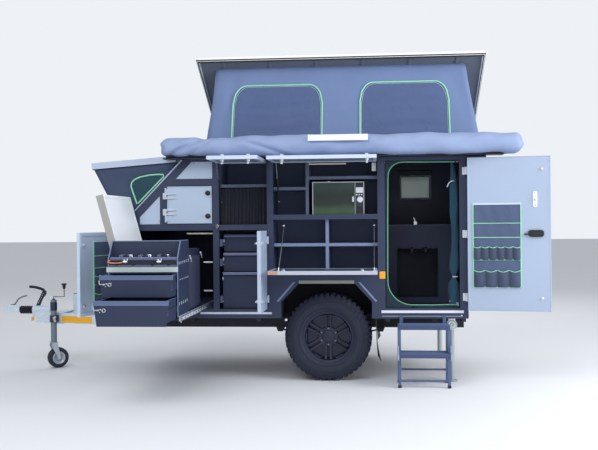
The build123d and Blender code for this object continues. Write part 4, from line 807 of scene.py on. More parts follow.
# Pocket organisers: polyester sheets with gathered pouches, bound in green, on the front hatch and the door.
# Each pouch bellies out below a scalloped top edge, and the top hem is a white batten.
pocket_cloth = cloth("organiser_polyester", "#4a5878", 1.0, crease=0.35, fold_mm=60, mottle=0.12)
pocket_dark = cloth("organiser_pouch_polyester", "#3c4660", 1.0, crease=0.45, fold_mm=50, mottle=0.15)


def pouches(form, trim, across, bottom, top, count, face, deep, dip):
    """A row of gathered pouches; trim takes their scalloped green edge."""
    width = (across[1] - across[0]) / count
    for k in range(count):
        left = across[0] + k * width

        def belly(i, j):
            """One pouch: gathered at its sides and full below its top edge."""
            u, v = i / 10, j / 8
            round_out = math.sin(math.pi * u) ** 0.6
            fall = dip * math.sin(math.pi * u) * v ** 3
            full = round_out * (0.55 + 0.45 * math.sin(math.pi * min(1, v * 0.8 + 0.1)))
            return left + width * u, face + 1.5 + deep * full, bottom + (top - bottom) * v - fall
        form.sheet(10, 8, belly)
        trim.tube([belly(i, 8) for i in range(11)], 3.2, steps=6)


on_door = hinged(2, (4600, -949), -8, -1)
DOOR_SHEET, DOOR_FACE = (62, 472), 43
for name, lay, across, heights, face, body in (("door", on_door, DOOR_SHEET,
        (1604, 1435, 1310, 1229, 1112, 1022, 872), DOOR_FACE, "entry_door"),
        ("front_hatch", on_front_hatch, (92, 590), (1305, 1180, 1075, 1010, 930, 860, 760), 31, "root")):
    backing = Form(lay)

    def backing_cloth(i, j):
        """The organiser's sheet, slack between its rows of binding."""
        u, v = i / 24, j / 30
        slack = 3 * abs(math.sin(v * math.pi * 5)) * math.sin(math.pi * u)
        return (across[0] + (across[1] - across[0]) * u, face + 4 + slack + 1.2 * math.sin(u * 23 + v * 9),
                heights[6] + (heights[0] - heights[6]) * v)

    backing.sheet(24, 30, backing_cloth)
    backing_piece = show(name + "_organiser_sheet", backing, pocket_cloth, body, sharp=60,
                         thick=2.0)
    rows, green = Form(lay), Form(lay)
    pouches(rows, green, across, heights[4], heights[3], 6, face, 24, 10)
    pouches(rows, green, across, heights[6], heights[5], 4, face, 27, 16)
    pouch_piece = show(name + "_organiser_pouches", rows, pocket_dark, body, sharp=70, thick=1.2)
    for h in (heights[1], heights[2], heights[4]):
        green.tube([(across[0] + (across[1] - across[0]) * i / 8, face + 8 + 1.2 * math.sin(i * 1.7), h)
                    for i in range(9)], 3.6, steps=6)
    for x in across:
        green.tube([(x, face + 5, heights[6] + (heights[0] - heights[6]) * i / 8) for i in range(9)], 5,
                   steps=6)
    green.tube([(across[0], face + 5, heights[6]), (across[1], face + 5, heights[6])], 4, steps=6)
    green_piece = show(name + "_organiser_binding", green, piping_green, body)
    batten_piece = show(name + "_organiser_batten", Form(lay).box((across[0] - 3, across[1] + 3),
                        (face + 0.5, face + 8), (heights[0] - 6, heights[0] + 10)), white_band,
                        body, bevel=1.5)
    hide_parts("door_pockets" if name == "door" else "front_pockets")
finish(pocket_cloth, "door_pockets", "front_pockets")


# Entry door: a silver board with a folded rim, swung back on three white cast hinges.
# Its inside has a white key plate, a black handle and a bolt near each end of the free edge.
finish(coat("door_silver_board", "#9eaec6", 0.34, mottle=0.05), "entry_door")
show("entry_door_rim", Form(on_door)
     .tube([(20, 43, 668), (722, 43, 668), (722, 43, 2014), (20, 43, 2014)], 3, closed=True)
     .tube([(20, 8, 668), (722, 8, 668), (722, 8, 2014), (20, 8, 2014)], 3, closed=True), pale_rim,
     body="entry_door")
show("entry_door_key_plate", Form(on_door).prism(rounded((576, 612), (1574, 1712), 14), 1, 43, 49)
     .turned([(49, 11), (56, 11), (58, 8)], (594, 0, 1640), 1, 16),
     coat("white_acetal", "#eef2fa", 0.35, mottle=0.02), body="entry_door", bevel=1.5)
show("entry_door_key_slot", Form(on_door).box((591, 597), (57, 59.5), (1628, 1652))
     .turned([(49, 5), (50.5, 5)], (594, 0, 1590), 1, 12)
     .turned([(49, 5), (50.5, 5)], (594, 0, 1696), 1, 12), handle_black, body="entry_door")
show("entry_door_inner_handle", Form(on_door).prism(rounded((533, 668), (1314, 1374), 24), 1, 43, 62)
     .prism(rounded((560, 655), (1326, 1362), 16), 1, 62, 72)
     .tube([(500, 58, 1338), (520, 58, 1338), (545, 58, 1340)], 7), handle_black,
     body="entry_door", bevel=4)
show("entry_door_outer_handle", Form(on_door).prism(rounded((560, 680), (1290, 1400), 18), 1, 4, 8)
     .prism(rounded((575, 665), (1330, 1362), 12), 1, -12, 4), handle_black, body="entry_door",
     bevel=3)
door_bolts = Form(on_door)
for h in (1905, 776):
    door_bolts.turned([(43, 12), (50, 12), (54, 7)], (650, 0, h), 1, 16)
show("entry_door_bolts", door_bolts, zinc, body="entry_door", bevel=1)
white_hinge = coat("white_cast_hinge", "#e3e6ee", 0.4, mottle=0.04)
for h in (1906.5, 1341, 775.5):
    show(f"door_hinge_leaf_{int(h)}", Form().box((4572, 4604), (-905.5, -900), (h - 34, h + 34))
         .box((4588, 4612), (-958, -902), (h + 26.5, h + 34))
         .box((4588, 4612), (-958, -902), (h - 34, h - 26.5)), white_hinge, bevel=1.5)
    show(f"door_hinge_barrel_{int(h)}", Form(on_door)
         .turned([(h - 24, 9.5), (h + 24, 9.5)], (0, 0, 0), 2, 20), white_hinge,
         body="entry_door", bevel=1)


# Doorway: a zipped insect screen bound in green, rolled to the right and tied, behind a white step strip.
# Inside are a low far locker with a strap-tied flap, a ledge and the small far window.
screen_teal = cloth("teal_insect_screen", "#164055", 1.6, crease=0.7, fold_mm=70, fuzz=0.2)
outline = [(4510, 1992), (4040, 1996)] + arc((4040, 1866), 130, 90, 180, 8)[1:] + [(3905, 1500), (3901, 940)]
outline += arc((4121, 920), 220, 180, 270, 10)[1:] + [(4300, 700), (4530, 704)]
show("doorway_screen_binding", Form().tube([(x, -866, h) for x, h in outline], 4.5),
     cloth("screen_binding_tape", "#6fb694", 1.0, crease=0.1))
lower_corner = [(3886, 940), (3886, 676), (4160, 676)] + arc((4121, 920), 222, 262, 180, 8)
upper_corner = [(3886, 1866), (3886, 2004), (4060, 2004)] + arc((4040, 1866), 132, 84, 180, 6)
screen_border = Form()
for strip in (lower_corner, upper_corner, [(3884, 930), (3884, 1870), (3903, 1870), (3901, 930)],
              [(4040, 2004), (4040, 1992), (4520, 1990), (4520, 2004)],
              [(4120, 676), (4120, 702), (4530, 706), (4530, 676)]):
    screen_border.prism(strip, 1, -866, -862)
border_piece = show("doorway_screen_border", screen_border,
                    cloth("dark_teal_border", "#16303e", 1.2, crease=0.2))


def rolled(i, j):
    """The rolled screen: hung from its top right, full at the middle, tied low down, loose below the tie."""
    v = j / 60
    h = 1992 - v * 1280
    u = 2 * math.pi * i / 20
    wide = 12 + 24 * min(1, v * 2.6) + 8 * math.sin(v * 9)
    tie = math.exp(-((v - 0.81) / 0.035) ** 2)
    below = max(0, v - 0.83) / 0.17
    wide = wide * (1 - 0.62 * tie) + 12 * below
    lobes = 1 + 0.14 * math.sin(3 * u + v * 14) + 0.07 * math.sin(7 * u - v * 21)
    centre = 4488 + 16 * min(1, v * 2) + 5 * math.sin(v * 5)
    return centre + wide * lobes * math.cos(u), -846 + 0.55 * wide * lobes * math.sin(u), h


roll = Form().loft([[rolled(i, j) for i in range(20)] for j in range(61)])
show("doorway_rolled_screen", roll, screen_teal, sharp=80)
show("doorway_screen_ties", Form().tube(circle((4507, -846, 954), (21, 15), 2, 12), 6, closed=True)
     .tube([(4500, -862, 1820), (4478, -874, 1818), (4456, -872, 1800), (4441, -868, 1766)], 5)
     .tube([(4455, -862, 735), (4490, -866, 722), (4530, -866, 716), (4532, -866, 690)], 5),
     coat("pale_webbing", "#b9c6d4", 0.8))

white_strip = coat("white_anodised_strip", "#dfe2f2", 0.35, mottle=0.02)
show("doorway_sill_strip", Form().box((3842, 4578), (-906, -900), (630, 654)), white_strip,
     bevel=1)
show("doorway_lower_strip", Form().box((3846, 4566), (-903, -900), (596, 606)),
     coat("grey_anodised_strip", "#7f889b", 0.4, metallic=0.4))

dark_lining = coat("dark_faced_plywood", "#596689", 0.6, peel_mm=3, mottle=0.15)
finish(dark_lining, "galley", "bed_deck")
finish(coat("locker_laminate", "#4a5374", 0.55, peel_mm=3, mottle=0.12), "far_locker")
show("far_ledge_trim", Form().box((3871, 4578), (322, 330), (1414, 1424)),
     coat("grey_ledge_trim", "#6a7090", 0.45), bevel=1)
show("far_ledge_latch", Form().box((4192, 4216), (310, 330), (1450, 1462))
     .prism([(4196, 1462), (4206, 1462), (4192, 1500), (4184, 1496)], 1, 316, 326)
     .box((4188, 4222), (318, 332), (1424, 1452)), zinc, bevel=1.5)
mouth_binding = Form()
for x in (4018, 4434):
    mouth_binding.tube([(x, 326, 1172), (x + 3, 325, 1000), (x - 3, 325, 830), (x, 326, 676)], 5)
show("far_locker_binding", mouth_binding, coat("green_binding_in_shade", "#2f6a55", 0.8))


def flap_roll(i, j):
    """The locker's flap, rolled up above its mouth and sagging between its straps."""
    v, u = j / 40, 2 * math.pi * i / 14
    x = 4026 + 400 * v
    sag = 10 * abs(math.sin(v * math.pi * 3))
    thick = 24 + 3 * math.sin(v * 40)
    for strap in (0.35, 0.7):
        thick -= 8 * math.exp(-((v - strap) / 0.02) ** 2)
    return x, 308 + thick * 0.7 * math.cos(u), 1158 - sag + thick * math.sin(u)


mouth_flap = Form().loft([[flap_roll(i, j) for i in range(14)] for j in range(41)])
show("far_locker_flap", mouth_flap,
               cloth("black_locker_flap", "#171b26", 1.4, crease=0.6, fold_mm=60), sharp=80)
flap_straps = Form()
for x in (4166, 4306):
    flap_straps.prism(rounded((280, 331), (1122, 1190), 12), 0, x - 11, x + 11)
show("far_locker_straps", flap_straps, handle_black, bevel=1.5)

window_frame = Form()
for y0, y1 in ((852, 862), (899, 907)):
    for across, up in (((4058, 4078), (1700, 1963)), ((4381, 4401), (1700, 1963)),
                       ((4078, 4381), (1700, 1718)), ((4078, 4381), (1945, 1963))):
        window_frame.box(across, (y0, y1), up)
show("far_window_frame", window_frame, coat("window_frame_plastic", "#8c93a3", 0.5), bevel=2)
show("far_window_blind_case", Form().box((4050, 4408), (836, 860), (1968, 2016)),
     coat("blind_case_plastic", "#23283c", 0.5), bevel=6)
glass, tree, shader, where, cloud = toned("tinted_acrylic_pane", tint("#55645f"), tint("#6f8078"), 8.0,
                                          3.0, {"Transmission Weight": 0.75, "IOR": 1.49})
uneven_gloss(tree, shader, cloud, 0.04, 0.12)
show("far_window_pane", Form().prism(rounded((4070, 4390), (1712, 1952), 22), 1, 878, 882), glass)


# Cupboard and kitchen: dark faced plywood with lacquered front edges, behind the frame's openings.
# A gathered curtain closes the cupboard's lower bay; a light strip and a white socket are in the kitchen.
# A gas strut at the left end holds up each upper hatch.
edge_lacquer = coat("slate_edge_lacquer", "#4d5772", 0.45, mottle=0.08)
# The lower shelf edges take a paler copy of the slate lacquer: painted light where the light falls on them.
painted_light_lacquer = coat("painted_light_slate_lacquer", "#7685a8", 0.45, mottle=0.06)
upper_edges = Form()
for x, h in (((2356, 2820), (1783, 1812)), ((2844, 3160), (1753, 1782)), ((3185, 3848), (1848, 1877)),
             ((3158, 3187), (1522, 2004))):
    upper_edges.box(x, (-851, -847.5), h)
show("upper_shelf_edges", upper_edges, edge_lacquer, bevel=1)
lower_edges = Form()
for x, h in (((2844, 3340), (1236, 1265)), ((3365, 3848), (1236, 1265)), ((3338, 3367), (1006, 1494))):
    lower_edges.box(x, (-851, -847.5), h)
show("lower_shelf_edges", lower_edges, painted_light_lacquer, bevel=1)


def pleat(i, j):
    """The curtain: gathered on its cord at the top, with pleats that open towards the hem."""
    u, v = i / 150, j / 12
    fold = (5 + 5 * v) * math.sin(u * 88 + 1.1 * math.sin(u * 9)) + 3 * math.sin(u * 31 + 2 * v)
    return 2360 + 456 * u, -832 + fold, 1778 - 346 * v


curtain_piece = show("cupboard_curtain", Form().sheet(150, 12, pleat),
                     cloth("dark_curtain", "#0c1124", 1.0, crease=0.3, fold_mm=60), sharp=80,
                     thick=1.0)
pale_lens = coat("milky_light_lens", "#d9d3c4", 0.35, mottle=0.03)
show("cabin_light_strips", Form().prism(rounded((-872, -856), (1983, 1997), 5), 0, 3190, 3530)
     .prism(rounded((-858, -846), (1354, 1368), 4), 0, 2050, 2292), pale_lens)
white_plastic = coat("white_socket_plastic", "#dfe3ea", 0.35, mottle=0.02)
show("kitchen_socket", Form().prism(rounded((3764, 3803), (1919, 1995), 6), 1, -858, -848)
     .prism(rounded((3770, 3797), (1960, 1988), 4), 1, -862, -857)
     .prism(rounded((3770, 3797), (1926, 1954), 4), 1, -862, -857), white_plastic, bevel=1)
socket_holes = Form()
for h in (1940, 1974):
    for x in (3778, 3789):
        socket_holes.turned([(-863, 2.2), (-858, 2.2)], (x, 0, h), 1, 10)
show("kitchen_socket_holes", socket_holes, handle_black)

hatch_struts = Form()
strut_rods = Form()
for x, reach in ((2384, 250), (2916, 210)):
    low, high = Vector((x, -872, 1650)), Vector((x, -908 - reach, 1996))
    half = low.lerp(high, 0.58)
    hatch_struts.tube([low, half], 7, steps=10)
    strut_rods.tube([half, high], 3.5)
    for point in (low, high):
        strut_rods.turned([(-6, 7), (6, 7)], point, 0, 12)
for part, form, material in (("tubes", hatch_struts, handle_black), ("rods", strut_rods, stainless)):
    strut = show("hatch_strut_" + part, form, material)
    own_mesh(strut)


# Microwave: a silver rim round a dark gloss door, with a dark panel, a pale dial and keys at its right.
# It stands on the kitchen's upper floor, and its door glass is set back a little.
show("microwave_case", Form().box((3218, 3694), (-838, -480), (1520.5, 1826)),
     coat("dark_enamelled_steel", "#1b2130", 0.4), bevel=3, instead_of="microwave")
oven_rim = Form()
for x, h in (((3218, 3694), (1520.5, 1529)), ((3218, 3694), (1817, 1826)), ((3218, 3226), (1529, 1817)),
             ((3686, 3694), (1529, 1817)), ((3608, 3613), (1529, 1817))):
    oven_rim.box(x, (-844, -838), h)
show("microwave_rim", oven_rim, coat("brushed_silver_rim", "#a9b3bd", 0.35, metallic=0.5),
     bevel=1)
# The door glass's green is a painted reflection: lighter green low down, dark green across the middle and a
# little lighter again at the top, with a cloudy drift.
door_glass, tree, shader, where, cloud = toned("door_glass_painted_reflection", tint("#0c1d19"), tint("#3f6340"),
        6.0, 2.0)
height = add(tree, "ShaderNodeSeparateXYZ", (), {"Vector": where}).outputs["Z"]
downward = add(tree, "ShaderNodeMapRange", {"From Min": 0.99, "From Max": 1.25}, {"Value": height})
drift = add(tree, "ShaderNodeMath", {"operation": "MULTIPLY_ADD", 1: 0.25},
            {0: cloud, 2: downward.outputs[0]})
reflection = add(tree, "ShaderNodeValToRGB", (), {"Fac": drift.outputs[0]})
stops = reflection.color_ramp.elements
stops[0].color, stops[1].color = tint("#3f6340"), tint("#1e3a30")
for position, colour in ((0.35, "#10241b"), (0.7, "#0c1d19")):
    stops.new(position).color = tint(colour)
tree.links.new(reflection.outputs[0], shader.inputs["Base Color"])
uneven_gloss(tree, shader, cloud, 0.3, 0.42)
show("microwave_door_glass", Form().prism(rounded((3228, 3607), (1531, 1815), 4), 1, -841, -836),
     door_glass, bevel=1)
show("microwave_panel", Form().box((3614, 3685), (-842, -838), (1530, 1816)),
     coat("oven_panel_black", "#222736", 0.3))
oven_pale = Form()
oven_pale.prism(rounded((3618, 3684), (1722, 1772), 5), 1, -844, -841)
oven_pale.turned([(-842, 29), (-855, 26), (-858, 22)], (3654, 0, 1661), 1, 28)
oven_pale.box((3652, 3656), (-860, -857), (1664, 1684))
for x in (3626, 3648, 3670):
    oven_pale.prism(rounded((x - 7, x + 7), (1700, 1710), 3), 1, -844, -841)
show("microwave_dial", oven_pale, white_plastic, bevel=1.2)
show("microwave_keys", Form().prism(rounded((3622, 3680), (1545, 1600), 5), 1, -845, -841)
     .prism(rounded((3620, 3680), (1782, 1810), 3), 1, -844, -841), handle_black, bevel=1)
show("microwave_catch", Form().prism(rounded((3584, 3600), (1640, 1690), 6), 1, -848, -841)
     .box((3360, 3384), (-842, -836), (1826, 1832)), zinc, bevel=1.5)


# Cupboard drawers: folded slate sheet with a rolled lip along the top, on ball-bearing runners.
# A zinc catch stands below each end of the lip.
drawer_slate = coat("slate_drawer_coat", "#242f4c", 0.6, mottle=0.08)
# The rolled lips take a lighter copy of the drawers' slate: a painted highlight along the lit lip.
painted_highlight_lip = coat("rolled_lip_painted_highlight", "#5c6a90", 0.45, mottle=0.06)
for level, front, low, high in (("top", -790, 1190, 1346), ("middle", -825, 1008, 1177),
                                ("bottom", -862, 668, 999)):
    drawer_name = "cupboard_drawer_" + level
    finish(drawer_slate, drawer_name)
    lip = Form()
    lip.prism([(front - 5, high - 23), (front - 5, high - 3), (front - 1, high + 3),
               (front + 13, high + 3), (front + 13, high - 3), (front + 3, high - 4), (front, high - 23)],
              0, 2386, 2749)
    for x in (2386, 2746):
        lip.box((x, x + 3), (front + 13, front + 413), (high - 2, high + 3))
    show(drawer_name + "_lip", lip, painted_highlight_lip, body=drawer_name, bevel=1.5)
    catches = Form()
    for x in (2387, 2748):
        catches.turned([(front - 9, 6), (front - 1, 7)], (x, 0, high - 55), 1, 14)
        catches.box((x - 3, x + 3), (front - 7, front - 1), (high - 72, high - 40))
        catches.box((x - 5, x + 5), (front + 2, front + 402), (low + 62, low + 66))
    show(drawer_name + "_catches", catches, zinc, body=drawer_name, bevel=1)


# Slide-out kitchen: a folded slate cabinet with wind shields on bright rails, and the stove on its top.
# Rows of screws hold its shelves, a pale ply board edges the worktop, and two drawers run out below.
UNIT_LEFT, UNIT_RIGHT = 1628, 2209
cabinet = Form()
for x in (UNIT_LEFT, UNIT_RIGHT - 12):
    cabinet.prism([(-1920, 672), (-1920, 1176), (-1805, 1313), (-1520, 1313), (-1520, 672)], 0, x, x + 12)
for y, h in (((-1532, -1520), (672, 1186)), ((-1920, -1532), (672, 684)), ((-1920, -1532), (1051, 1063)),
             ((-1920, -1532), (863, 871)), ((-1805, -1799), (1186.5, 1313)), ((-1520, -932), (672, 684))):
    cabinet.box((UNIT_LEFT + 11.5, UNIT_RIGHT - 11.5), y, h)
show("slide_out_cabinet", cabinet, coat("perforated_slate_sheet", "#222d4a", 0.6, mottle=0.1),
     bevel=1, instead_of="slide_cabinet")
finish(drawer_slate, "lower_drawer", "upper_drawer")
unit_rows = []
for h0, h1, y0, y1 in ((1141, 1150, -1890, -1540), (1128, 1137, -1890, -1540), (1000, 1005, -1852, -1560),
                       (811, 818, -1885, -1600), (798, 805, -1885, -1600)):
    for x, way in ((UNIT_RIGHT, 1), (UNIT_LEFT, -1)):
        unit_rows.append(((x, y0, h0), (x, y1, h1), (way, 0, 0)))
studs("unit_side_rows", unit_rows, 62, 14, zinc)
# The folds along the shields' edges are a lighter copy of the slate sheet: a painted highlight where the
# rounded folds catch the light.
shield_edge = Form()
for x in (UNIT_LEFT + 6, UNIT_RIGHT - 6):
    shield_edge.tube([(x, -1921, 700), (x, -1921, 1176), (x, -1806, 1314), (x, -1530, 1314)], 5)
shield_edge.tube([(UNIT_LEFT + 8, -1805, 1314), (UNIT_RIGHT - 8, -1805, 1314)], 4)
show("wind_shield_folds", shield_edge, coat("sheet_fold_painted_highlight", "#6e7d9f", 0.4, mottle=0.06))
show("worktop_board_edge", Form().box((1618, 2208), (-1927, -1920.4), (1064, 1105)),
     coat("birch_ply_edge", "#b9c7ca", 0.6, peel_mm=4, mottle=0.14, bump=0.4), bevel=1)
show("stove_front_bars", Form().prism([(-1922, 1161), (-1922, 1180), (-1916, 1187), (-1906, 1187),
                                       (-1906, 1178), (-1912, 1161)], 0, 1648, 2196)
     .box((1642, 2196), (-1920, -1912), (1106, 1122)),
     coat("stove_bar_slate", "#5d698a", 0.35, metallic=0.3), bevel=2)
finish(coat("dark_stove_enamel", "#20273a", 0.25, mottle=0.1), "stove")
burners = Form()
flames = Form()
for x in (1760, 1918, 2076):
    burners.turned([(1139, 40), (1166, 44), (1172, 44), (1176, 34), (1180, 32), (1184, 18)], (x, -1854, 0),
                   2, 28)
    for k in range(4):
        angle = math.pi / 4 + k * math.pi / 2
        ax, ay = math.cos(angle), math.sin(angle)
        flames.tube([(x + ax * 60, -1854 + ay * 44, 1140), (x + ax * 58, -1854 + ay * 42, 1200),
                     (x + ax * 30, -1854 + ay * 22, 1202)], 3.2, steps=6)
show("stove_burners", burners, coat("cast_burner", "#8b93a3", 0.4, metallic=0.7), bevel=1)
show("stove_pan_supports", flames, stainless)
show("stove_gas_pipe", Form().tube([(1646, -1915, 1160), (1632, -1922, 1156), (1628, -1925, 1148),
                                    (1650, -1925, 1140), (1690, -1925, 1137), (1735, -1924, 1140),
                                    (1765, -1922, 1149)], 6, steps=12),
     coat("orange_gas_pipe", "#d6854f", 0.4, metallic=0.3))
gas_fittings = Form()
for x in (1768, 2048):
    gas_fittings.turned([(-14, 8), (-6, 8), (-6, 12), (10, 12), (10, 8), (22, 8)], (x, -1921, 1147), 0, 6)
    gas_fittings.tube([(x + 10, -1921, 1147), (x + 22, -1921, 1160), (x + 22, -1917, 1178)], 5)
    gas_fittings.turned([(1140, 5), (1158, 5), (1158, 9), (1170, 9)], (x - 2, -1923, 0), 2, 8)
show("stove_gas_fittings", gas_fittings, zinc, bevel=1)
knobs = Form()
for x in (1700, 1838, 1996, 2130):
    knobs.turned([(-1915, 14), (-1926, 13), (-1930, 9)], (x, 0, 1132), 1, 20)
show("stove_knobs", knobs, handle_black, bevel=1)
DRAWER_X = (1646, 2191)
for name, front, low, high, drop in (("lower_drawer", -2279, 690, 857, 26),
                                     ("upper_drawer", -2124, 877, 1045, 0)):
    show(name + "_front", Form().prism([(1646, low - drop), (2191, low - drop), (2217, high),
                                        (1620, high)], 1, front, front + 14), drawer_slate,
         body=name, bevel=1.5)
    # The lip takes the same painted highlight as the cupboard drawers' lips.
    lip = Form()
    lip.prism([(DRAWER_X[0] - 22, high - 32), (DRAWER_X[1] + 22, high - 32), (DRAWER_X[1] + 26, high),
               (DRAWER_X[0] - 26, high)], 1, front - 4, front + 1)
    lip.prism([(front - 6, high - 6), (front - 6, high + 2), (front + 2, high + 5), (front + 14, high + 5),
               (front + 14, high), (front - 2, high - 6)], 0, DRAWER_X[0] - 26, DRAWER_X[1] + 26)
    for x in (1646, 2187):
        lip.box((x, x + 4), (front + 28, front + 394), (high - 1, high + 4))
    show(name + "_lip", lip, painted_highlight_lip, body=name, bevel=1.5)
    latch = Form()
    latch.tube([(1622, front - 6, high - 34), (1624, front - 9, high - 58), (1634, front - 10, high - 68),
                (1648, front - 8, high - 62)], 4)
    latch.prism(rounded((1650, 1668), (high - 72, high - 60), 4), 1, front - 6, front - 1)
    latch.turned([(front - 1, 6), (front - 8, 6)], (1680, 0, high - 60), 1, 12)
    latch.turned([(front - 1, 4), (front - 8, 4)], (1674, 0, high - 82), 1, 12)
    latch.tube(circle((1706, front - 5, high - 68), (13, 13), 1, 16), 3, closed=True)
    show(name + "_latch", latch, zinc, body=name)
    runner = Form()
    for x in ((1640.5, 1646.5), (2190.5, 2196.5)):
        runner.box(x, (front + 32, front + 390), (low + 56, low + 64))
        runner.box(x, (front + 32, front + 390), (low + 90, low + 98))
    for x in (1638, 2191):
        runner.prism(rounded((front + 30, front + 58), (low + 52, low + 102), 5), 0, x, x + 6)
    show(name + "_runners", runner, stainless, body=name, bevel=1)
rails = Form()
for x, way in ((1608, -1), (2229, 1)):
    for h in ((665, 673), (699, 707)):
        rails.box(sorted((x, x + 3 * way)), (-1912, -880), h)
    rails.box((x - 4, x + 4), (-1924, -1906), (656, 714))
show("slide_rail_flanges", rails, stainless, bevel=1)
rail_holes = [((x + 3.2 * way, -1890, 686), (x + 3.2 * way, -900, 686), (way, 0, 0))
              for x, way in ((1608, -1), (2229, 1))]
studs("slide_rail_rivets", rail_holes, 110, 12, handle_black)
finish(coat("bright_zinc_rail", "#cdd8e8", 0.35, metallic=0.2), "slide_rails")
side_hooks = Form()
for y, h in ((-1470, 1150), (-1010, 1165)):
    side_hooks.tube([(2211, y, h + 28), (2217, y - 16, h + 14), (2219, y - 12, h - 4),
                     (2217, y + 14, h - 22)], 5)
    side_hooks.prism(rounded((y - 14, y + 14), (h + 14, h + 34), 5), 0, 2204, 2212)
show("cabinet_side_hooks", side_hooks, zinc)


# Fridge: a chest in a ribbed dark jacket with one long pale lid, which folds up to the left.
# The lid is a foamed board with a grey edge band and a soft gasket, long enough to cover the stove as well.
finish(coat("dark_fridge_shell", "#252c46", 0.55, mottle=0.15), "fridge")


def repeated(name, form, count, material, body="root", shift=(0, 0, 0), turn=0.0, centre=(0, 0, 0)):
    """Repeats a small form, each one shifted and turned on from the last about the centre."""
    mesh = bpy.data.meshes.new(name)
    mesh.from_pydata([point - place(*centre) for point in form.points], [], form.faces)

    def row(tree, given):
        """Sets a copy of the form at each step, turned on from the last."""
        line = add(tree, "GeometryNodeMeshLine", {"mode": "OFFSET"},
                   {"Count": given["Count"], "Offset": given["Shift"]})
        index = add(tree, "GeometryNodeInputIndex")
        angle = add(tree, "ShaderNodeVectorMath", {"operation": "SCALE"},
                    {"Vector": given["Turn"], "Scale": index.outputs[0]})
        placed = add(tree, "GeometryNodeInstanceOnPoints", (),
                     {"Points": line.outputs[0], "Instance": given["Geometry"],
                      "Rotation": angle.outputs[0]})
        return add(tree, "GeometryNodeTransform", (),
                   {"Geometry": placed.outputs[0], "Translation": given["Centre"]})

    grown(name, mesh, {"Count": count, "Shift": [s / 1000 for s in shift], "Turn": (0.0, turn, 0.0),
                       "Centre": tuple(place(*centre))}, row, material, body, 35)


repeated("fridge_jacket_ribs", Form().tube([(2181, -1480, 712), (2185, -1480, 730), (2185, -1480, 1150),
                                            (2181, -1480, 1170)], 9, steps=8), 15,
         coat("dark_ribbed_jacket", "#2b3350", 0.7, mottle=0.2), shift=(0, 36, 0))
on_lid = hinged(1, (1672, 1230), 105, -1)
pale_lid = coat("pale_lid", "#f1f7ff", 0.35, mottle=0.02)
lid = Form(on_lid)
lid.box((10, 492), (-1757, -932), (-66, -6))
for y in (-1430, -1014):
    lid.turned([(y - 25, 7), (y + 25, 7)], (0, 0, 0), 1, 20)
    lid.prism([(0, 6), (12, -6), (12, -20), (-6, -2)], 1, y - 25, y + 25)
show("fridge_long_lid", lid, pale_lid, body="fridge_lid", bevel=4, instead_of="fridge_lid")
show("fridge_lid_edge_band", Form(on_lid).box((9, 493), (-1759.5, -1756.5), (-67, -5)),
     coat("grey_lid_band", "#a0a09c", 0.45, mottle=0.05), body="fridge_lid", bevel=1)
show("fridge_lid_border", Form(on_lid).tube([(r, y, -6) for r, y in ((40, -1730), (464, -1730),
                                            (464, -960), (40, -960))], 3, closed=True),
     coat("lid_gasket", "#d5e2ee", 0.5), body="fridge_lid")
rungs = Form()
for h in (1096, 832):
    rungs.prism(rounded((-866, -852), (h - 7, h + 7), 4), 0, 2206, 2290)
show("bay_white_rungs", rungs, white_plastic, bevel=1)


# Lower body edge: bright step strips along the sill, a lip round the wheel arch painted pale as a highlight,
# and a strip over it.
# Amber reflectors and small marker lamps stand on the frame.
show("body_sill_strip", Form().prism(rounded((-906, -900), (618, 638), 2), 0, 2180, 2842),
     coat("bright_sill_strip", "#c9d2e2", 0.3, metallic=0.3), bevel=1)
arch_trim = Form()
for side in (-1, 1):
    arch_trim.prism(rounded((3094, 3598), (897, 926), 2), 1, side * 900, side * 903)
show("arch_top_strip", arch_trim, coat("beige_reflective_strip", "#8d9186", 0.45, mottle=0.06),
     bevel=1)
# The arch's edges are a paler copy of the slate frame: a painted highlight along the lips.
arch_lip = Form()
for side in (-1, 1):
    for corners in ([(3632, 912), (3652, 912), (3806, 738), (3786, 732)],
                    [(3061, 912), (3041, 912), (2887, 738), (2907, 732)]):
        arch_lip.prism(corners, 1, side * 900, side * 905)
show("arch_side_lips", arch_lip, coat("arch_lip_painted_highlight", "#7484a8", 0.4, mottle=0.1),
     bevel=1.5)
amber = coat("amber_lens", "#f0a528", 0.25, peel_mm=3, mottle=0.08)
reflectors = Form()
for side in (-1, 1):
    reflectors.prism(rounded((3826, 3880), (940, 1006), 6), 1, side * 900, side * 908)
reflectors.box((236, 262), (-76, -62), (460, 500))
show("amber_reflectors", reflectors, amber, bevel=1.5)
markers = Form()
for x, h in ((2972, 566), (4560, 605)):
    for side in (-1, 1):
        markers.turned([(890 * side, 13), (897 * side, 12), (901 * side, 7)], (x, 0, h), 1, 16)
show("side_marker_lamps", markers, white_plastic)
corner_trim = Form()
for side in (-1, 1):
    for path in (((4784, 2094), (4784, 1000), (4619, 670), (4619, 584)), ((1448, 584), (1448, 1450))):
        corner_trim.tube([(x - 5 if x > 3000 else x + 5, side * 895, h) for x, h in path], 9)
show("body_corner_extrusions", corner_trim, slate)
vents = Form()
for h in range(0, 60, 10):
    vents.box((2680, 2860), (900, 905), (1500 + h, 1504 + h))
vents.prism(rounded((2664, 2876), (1484, 1570), 8), 1, 900, 902.5)
vents.prism(rounded((3300, 3420), (1180, 1300), 10), 1, 900, 906)
vents.prism(rounded((2100, 2200), (900, 1000), 10), 1, 900, 906)
show("far_side_hatches", vents, coat("slate_service_plastic", "#39445c", 0.45), bevel=1.5)


